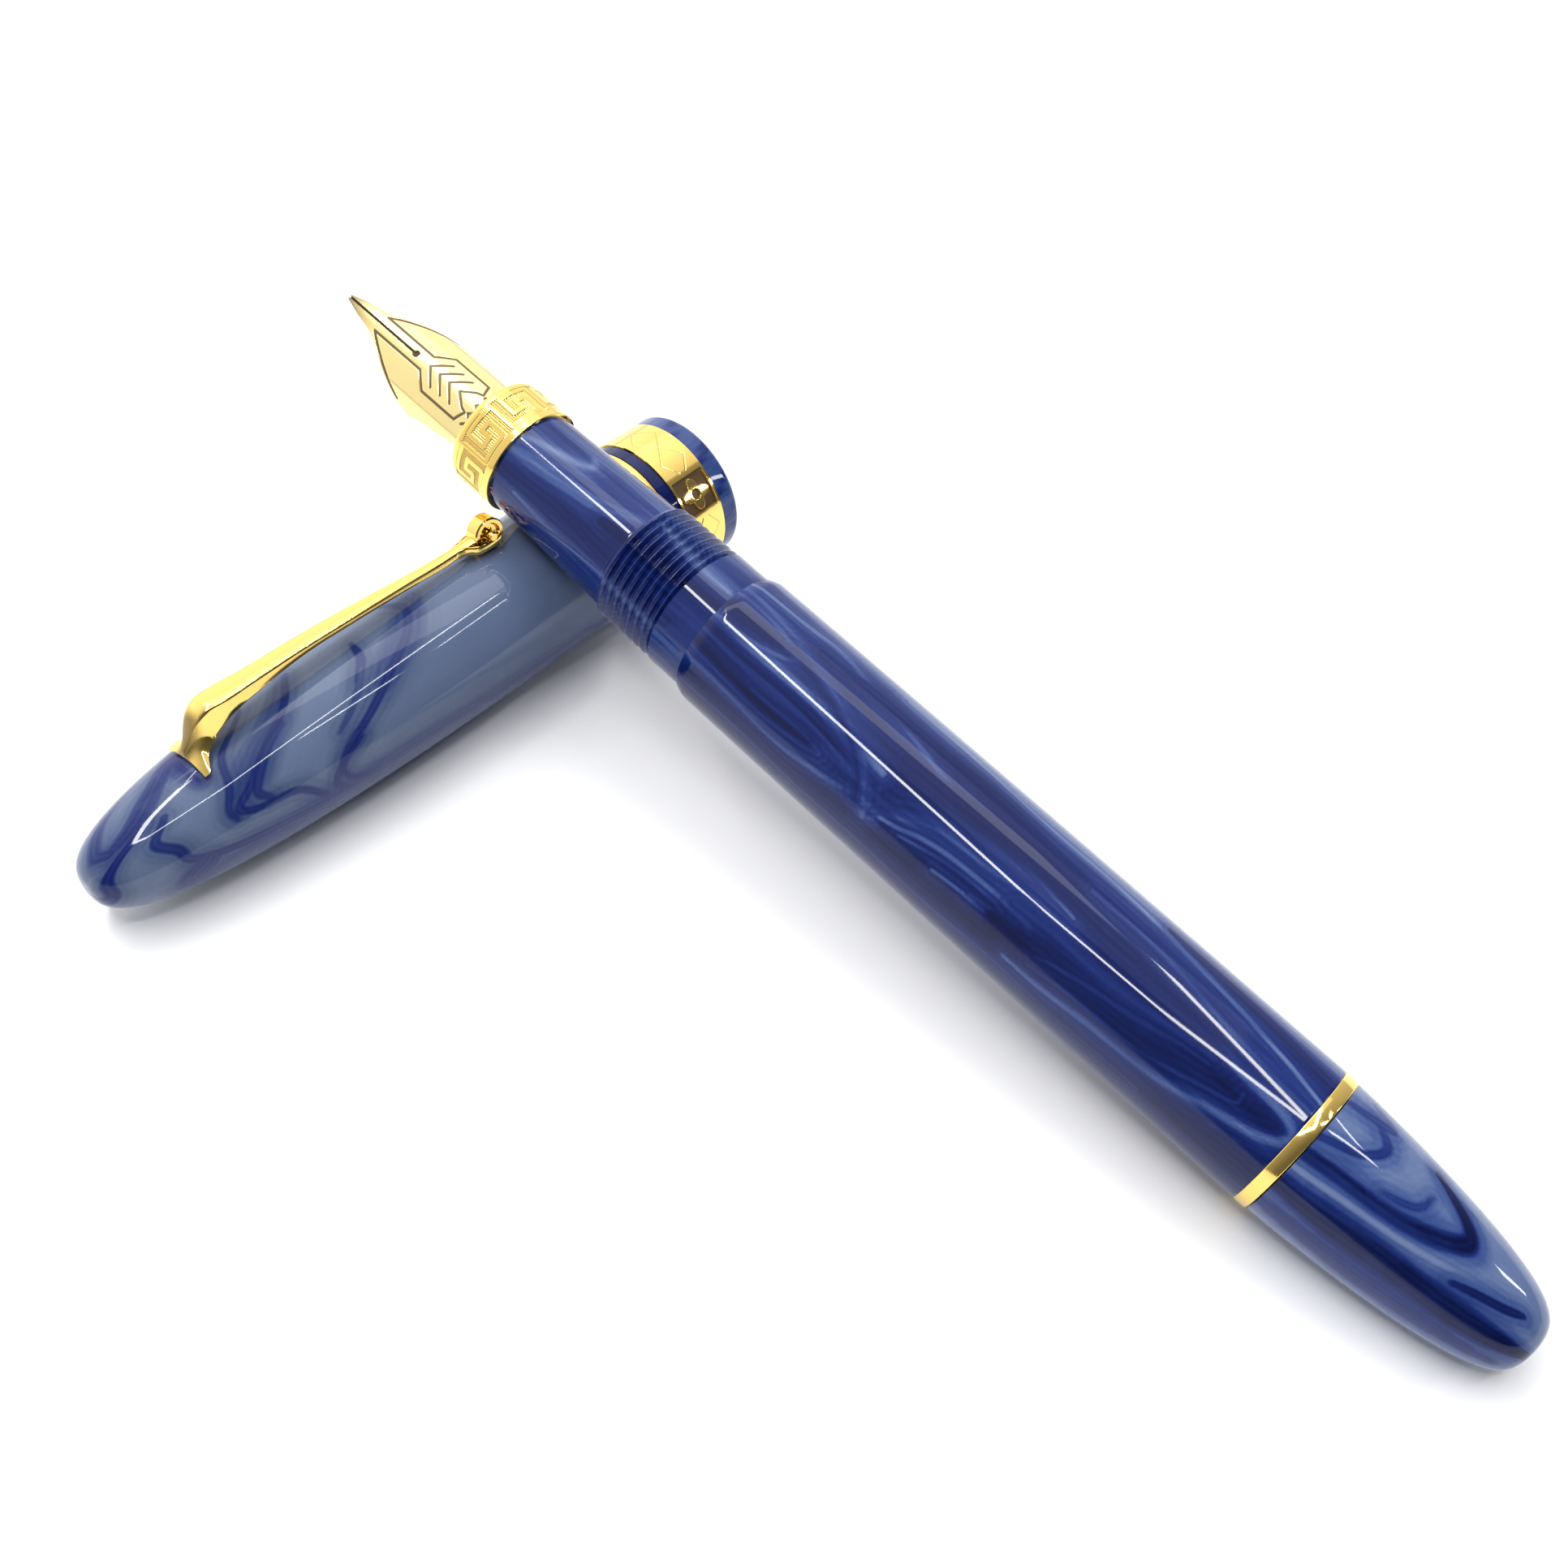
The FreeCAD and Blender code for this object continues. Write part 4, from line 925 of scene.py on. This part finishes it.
def make_cap_shell():
    tube = np.linspace(THIN_BAND_END + 0.05, TUBE_SWELL_END - 0.3, 60)
    crown = nose_stations(CROWN_NOSE, 340)
    skin = cap_radius(crown)
    skin[-1] = 0
    thread = np.linspace(*CAP_THREAD, 120)
    wave = 0.5 - 0.5 * np.cos(2 * math.pi * thread / THREAD_PITCH)
    inside = CAP_THREAD_ROOT - CAP_THREAD_DEPTH * wave ** 0.8
    outline = joined(
        *CAP_BORE, (thread[::-1], inside[::-1]), (CAP_THREAD[0] - 0.2, MOUTH_RADIUS),
        (SPIGOT_START, MOUTH_RADIUS), (SPIGOT_START, SPIGOT_RADIUS), (THIN_BAND_END, SPIGOT_RADIUS),
        (THIN_BAND_END, cap_radius(THIN_BAND_END) - 0.05), (tube, cap_radius(tube)), (crown, skin),
    )
    pattern = ribbon_pattern(CAP_RIBBONS, 0.8, TUBE_RADIUS, CLIP_ROLL, CAP_FACING)
    piece = turned("cap_skin", CAP, *outline, segments=360, pattern=pattern, ends="nose")
    return dress(piece, LOOKS["cap"], "cap", "cap_resin", "cap_shell")


# ---- clip ----
# The blade's outlines are (station, size) points: the height of its top and of its under side above the cap's
# axis, and its half width at the top and at the under side.

CLIP_TOP = [(25.9, 8.75), (27.0, 8.7), (30.0, 8.75), (35.0, 9.05), (40.0, 9.35), (45.0, 9.58), (50.0, 9.65),
            (53.5, 9.78), (55.0, 9.8), (55.8, 9.4), (56.6, 8.5), (57.3, 7.3), (57.9, 6.5)]
CLIP_UNDER = [(25.9, 8.0), (27.0, 8.0), (30.0, 8.05), (35.0, 8.4), (40.0, 8.7), (45.0, 8.85), (50.0, 8.4),
              (53.0, 7.8), (55.2, 7.0), (56.6, 6.4), (57.9, 5.9)]
CLIP_TOP_HALF = [(25.9, 0.7), (27.0, 0.58), (30.0, 0.6), (40.0, 0.9), (50.0, 1.15), (54.5, 1.3),
                 (55.8, 1.1), (57.0, 0.6), (57.9, 0.3)]
CLIP_FOOT_HALF = [(25.9, 0.7), (27.0, 0.6), (30.0, 0.62), (40.0, 0.95), (50.0, 1.2), (53.5, 1.25),
                  (55.5, 1.4), (56.6, 1.85), (57.4, 2.8), (57.9, 2.75)]
CLIP_START = 25.9
CLIP_BEND = 53.0
CLIP_END = 57.9
# The foot lies along the tube from this station on. A painted dark reflection on its back fades in along the
# clip and out across it.
FOOT_ON_TUBE = 56.5
PAINTED_REFLECTION_ALONG = (55.5, 56.3)
PAINTED_REFLECTION_ACROSS = (0.5, 1.3)


def clip_section(top, under, top_half, foot_half):
    """One half of the clip's cross-section, as distances across and heights: crowned top, hollow flank, flat
    under side."""
    corner = 0.22
    step = np.linspace(0, 1, 14)
    across = np.concatenate([
        [0.0, top_half * 0.4, top_half * 0.75, top_half * 0.95],
        top_half + (foot_half - top_half) * step ** 3,
        [foot_half - 0.08, foot_half * 0.6, 0.0],
    ])
    height = np.concatenate([
        [top + 0.1, top + 0.08, top + 0.02, top - 0.08],
        top - corner + (under + 0.12 - top + corner) * step,
        [under + 0.02, under, under],
    ])
    return across, height


def make_clip_blade():
    """Points, faces and painted dark of the blade. Its foot follows the tube and has a painted dark
    reflection behind.
    """
    blade = np.linspace(CLIP_START, CLIP_BEND, 90)
    foot = np.linspace(CLIP_BEND + 0.15, CLIP_END, 60)
    stations = np.concatenate([blade, foot])
    rings, ink_and_shade_values = [], []
    for station in stations:
        sizes = [float(blend_points(curve, np.array([station]))[0])
                 for curve in (CLIP_TOP, CLIP_UNDER, CLIP_TOP_HALF, CLIP_FOOT_HALF)]
        across, height = clip_section(*sizes)
        skin = float(cap_radius(np.array(station)))
        sag = skin - np.sqrt(np.maximum(skin ** 2 - across ** 2, 0))
        height = height - sag * smooth(CLIP_BEND, FOOT_ON_TUBE, station)
        height = np.concatenate([height, height[-2:0:-1]])
        across = np.concatenate([across, -across[-2:0:-1]])
        painted_reflection = smooth(*PAINTED_REFLECTION_ALONG, station) * (1 - smooth(*PAINTED_REFLECTION_ACROSS, np.abs(across)))
        ink_and_shade_values.append(0.75 * painted_reflection)
        rings.append(np.stack([np.full_like(across, station), across, height], axis=1))
    points = np.array(rings)
    rows, columns = points.shape[:2]
    faces = [list(face) for face in grid_faces(rows, columns, False, True)]
    faces.append(list(range(columns)))
    faces.append([(rows - 1) * columns + column for column in reversed(range(columns))])
    return points, faces, np.array(ink_and_shade_values)


def make_clip():
    points, faces, ink_and_shade_values = make_clip_blade()
    piece = make_piece("clip_blade", CAP, points, faces, ink_and_shade_values, crease=50)
    return dress(piece, LOOKS["gold"], "clip", "plated_gold", "clip")


# The fork's arm, as (station, distance across, height) points, and its half width and half height.
PRONG = [(28.4, 0.35, 8.35), (27.2, 0.5, 8.3), (26.4, 0.95, 8.1), (25.4, 1.12, 8.0), (24.0, 1.12, 8.05),
         (23.5, 1.12, 8.3)]
PRONG_HALF = (0.22, 0.42)


def squared(wave):
    """A cosine or sine with fuller sides, for a bar that is rounder than a box and fuller than a rod."""
    return np.sign(wave) * np.abs(wave) ** 0.6


def make_prong(side):
    """One arm of the clip's fork: a bar that leaves the neck, turns out and passes beside the wheel."""
    path = smooth_path([(station, offset * side, height) for station, offset, height in PRONG], 6)
    turn = np.linspace(0, 2 * math.pi, 16, endpoint=False)
    round_end = np.sqrt(np.clip(1 - np.linspace(-1, 1, len(path)) ** 12, 0, 1)) + 0.02
    half_width, half_height = PRONG_HALF
    across = path[:, 1, None] + half_width * round_end[:, None] * squared(np.cos(turn))
    height = path[:, 2, None] + half_height * round_end[:, None] * squared(np.sin(turn))
    station = np.repeat(path[:, 0, None], len(turn), axis=1)
    faces = [list(face) for face in grid_faces(len(path), len(turn), False, True)]
    faces.append(list(range(len(turn))))
    faces.append([(len(path) - 1) * len(turn) + column for column in reversed(range(len(turn)))])
    name = "clip_arm_near" if side > 0 else "clip_arm_far"
    piece = make_piece(name, CAP, np.stack([station, across, height], axis=2), faces)
    return dress(piece, LOOKS["gold"], "clip", "plated_gold", "clip")


def roller_lay():
    """The wheel's own axes: X across the clip, through the pin."""
    spin = joint("roller_spin")
    return placement(Vector(spin["pos_m"]), Vector(spin["axis"]).normalized(), Vector((0, 0, 1)))


def make_roller():
    """The wheel, with a bevelled rim and a dished hub on either side."""
    half = ROLLER_WIDTH / 2
    skin, shoulder = ROLLER_RADIUS, ROLLER_RADIUS - ROLLER_BEVEL
    bore, floor, rim, depth = ROLLER_DISH
    outline = joined(
        (-half + depth, bore), (-half + depth, floor), (-half, rim),
        (-half, shoulder), (-half + ROLLER_BEVEL, skin), (half - ROLLER_BEVEL, skin), (half, shoulder),
        (half, rim), (half - depth, floor), (half - depth, bore),
    )
    piece = turned("roller_wheel", roller_lay(), *outline, segments=96)
    return dress(piece, LOOKS["gold"], "roller", "plated_gold", "clip_roller")


def make_pin():
    half = ROLLER_WIDTH / 2 + PIN_REACH
    outline = joined(
        (-half, 0.0), (-half, PIN_RADIUS - 0.07), (-half + 0.12, PIN_RADIUS),
        (half - 0.12, PIN_RADIUS), (half, PIN_RADIUS - 0.07), (half, 0.0),
    )
    piece = turned("pin_skin", roller_lay(), *outline, segments=48, ends="nose")
    return dress(piece, LOOKS["gold"], "clip", "plated_gold", "roller_pin")


for make in (make_barrel, make_section, make_knob, make_trim_ring, make_section_ring, make_nib, make_lip_ring,
             make_wide_band, make_spacer, make_thin_band, make_cap_shell, make_clip, make_roller, make_pin):
    make()
for side in (1, -1):
    make_prong(side)

CAD_LOOKS = {
    "nib_tipping": "steel", "feed": "black", "nib_housing": "plastic", "inner_cap": "plastic",
    "guide_bush": "plastic", "piston_rod": "plastic", "section_seal": "rubber", "knob_seal": "rubber",
    "piston_seal": "rubber", "spindle": "brass", "clip_anchor": "brass", "knob_snap_ring": "steel",
    "clip_screw": "steel",
}
for node, look in CAD_LOOKS.items():
    frame["nodes"][node].data.materials.clear()
    frame["nodes"][node].data.materials.append(LOOKS[look])


# ---- table, light and camera ----

TABLE_REACH = 3.0


def make_floor():
    mesh = bpy.data.meshes.new("table_top")
    corners = [(x * TABLE_REACH, y * TABLE_REACH, 0) for x, y in ((-1, -1), (1, -1), (1, 1), (-1, 1))]
    mesh.from_pydata(corners, [], [(0, 1, 2, 3)])
    floor = bpy.data.objects.new("table_top", mesh)
    bpy.context.scene.collection.objects.link(floor)
    graph = Graph("pale_table")
    graph.shade(Base_Color=(0.96, 0.96, 0.965, 1), Roughness=0.6)
    mesh.materials.append(graph.material)


def soft_light(name, start, end, width, height, radiance):
    """A flat lamp that faces down and runs from start to end at a height above the table."""
    start, end = Vector((*start, height)), Vector((*end, height))
    run = end - start
    data = bpy.data.lights.new(name, "AREA")
    data.shape = "RECTANGLE"
    data.size, data.size_y = run.length, width
    data.energy = radiance * math.pi * run.length * width
    light = bpy.data.objects.new(name, data)
    light.location = (start + end) / 2
    light.rotation_euler = (0, 0, math.atan2(run.y, run.x))
    bpy.context.scene.collection.objects.link(light)


# A lamp is (start, end, width, height, radiance), in metres. Its start and end are (x, y) over the table.
# The strips share one height and one radiance.
STRIP_HEIGHT = 0.35
STRIP_RADIANCE = 30
STRIP_CORNERS = [(-0.30, 0.02), (-0.17, -0.03), (-0.10, -0.09), (0.02, -0.16), (0.07, -0.13), (0.12, -0.01),
                 (0.062, 0.16)]
STRIP_WIDTHS = [0.003, 0.024, 0.022, 0.016, 0.010, 0.009]
SIDE_STRIPS = [((0.146, 0.05), (0.187, 0.119), 0.009), ((0.146, 0.197), (0.174, 0.144), 0.008)]
WINDOW = ((0.03, 0.18), (-0.32, 0.007), 0.09, 0.35, 2.5)
BACK_STRIP = ((0.39, 0.36), (0.71, 0.73), 0.04, 0.35, 22)
CEILING = ((-0.48, 0.16), (0.1, 0.16), 0.5, 0.4, 0.5)
ROOM_BRIGHT_SIDE = (-0.98, 0.18, 0.1)
ROOM = [(0.0, 0.08), (0.35, 0.17), (0.55, 0.6), (0.7, 1.0), (0.85, 1.3), (1.0, 1.5)]


def make_lights():
    for index, (start, end, width) in enumerate(zip(STRIP_CORNERS, STRIP_CORNERS[1:], STRIP_WIDTHS)):
        soft_light(f"strip_{index}", start, end, width, STRIP_HEIGHT, STRIP_RADIANCE)
    for index, (start, end, width) in enumerate(SIDE_STRIPS):
        soft_light(f"side_strip_{index}", start, end, width, STRIP_HEIGHT, STRIP_RADIANCE)
    soft_light("window", *WINDOW)
    soft_light("back_strip", *BACK_STRIP)
    soft_light("ceiling", *CEILING)


def make_world():
    """A room that is dim in front of the table and on its right, and bright on its left."""
    world = bpy.data.worlds.new("room")
    world.use_nodes = True
    bpy.context.scene.world = world
    tree = world.node_tree
    direction = tree.nodes.new("ShaderNodeTexCoord")
    towards = tree.nodes.new("ShaderNodeVectorMath")
    towards.operation = "DOT_PRODUCT"
    towards.inputs[1].default_value = ROOM_BRIGHT_SIDE
    tree.links.new(direction.outputs["Generated"], towards.inputs[0])
    half = tree.nodes.new("ShaderNodeMath")
    half.operation = "MULTIPLY_ADD"
    half.inputs[1].default_value = half.inputs[2].default_value = 0.5
    tree.links.new(towards.outputs["Value"], half.inputs[0])
    shade = tree.nodes.new("ShaderNodeValToRGB")
    set_stops(shade, [(position, (grey, grey, grey)) for position, grey in ROOM])
    tree.links.new(half.outputs[0], shade.inputs["Fac"])
    background = tree.nodes["Background"]
    tree.links.new(shade.outputs["Color"], background.inputs["Color"])
    background.inputs["Strength"].default_value = 1.0


CAMERA_PLACE = (52.470, -67.184, 131.886)
CAMERA_TURNS = (38.667, -4.732, 42.456)
CAMERA_LENS = 42.03
SENSOR_WIDTH = 36


def make_camera():
    data = bpy.data.cameras.new("camera")
    data.lens = CAMERA_LENS
    data.sensor_width = SENSOR_WIDTH
    data.clip_start = 0.01
    camera = bpy.data.objects.new("camera", data)
    camera.location = Vector(CAMERA_PLACE) * MM
    camera.rotation_euler = [math.radians(turn) for turn in CAMERA_TURNS]
    bpy.context.scene.collection.objects.link(camera)
    bpy.context.scene.camera = camera


make_floor()
make_world()
make_camera()
make_lights()
bpy.context.scene.view_settings.view_transform = "Standard"
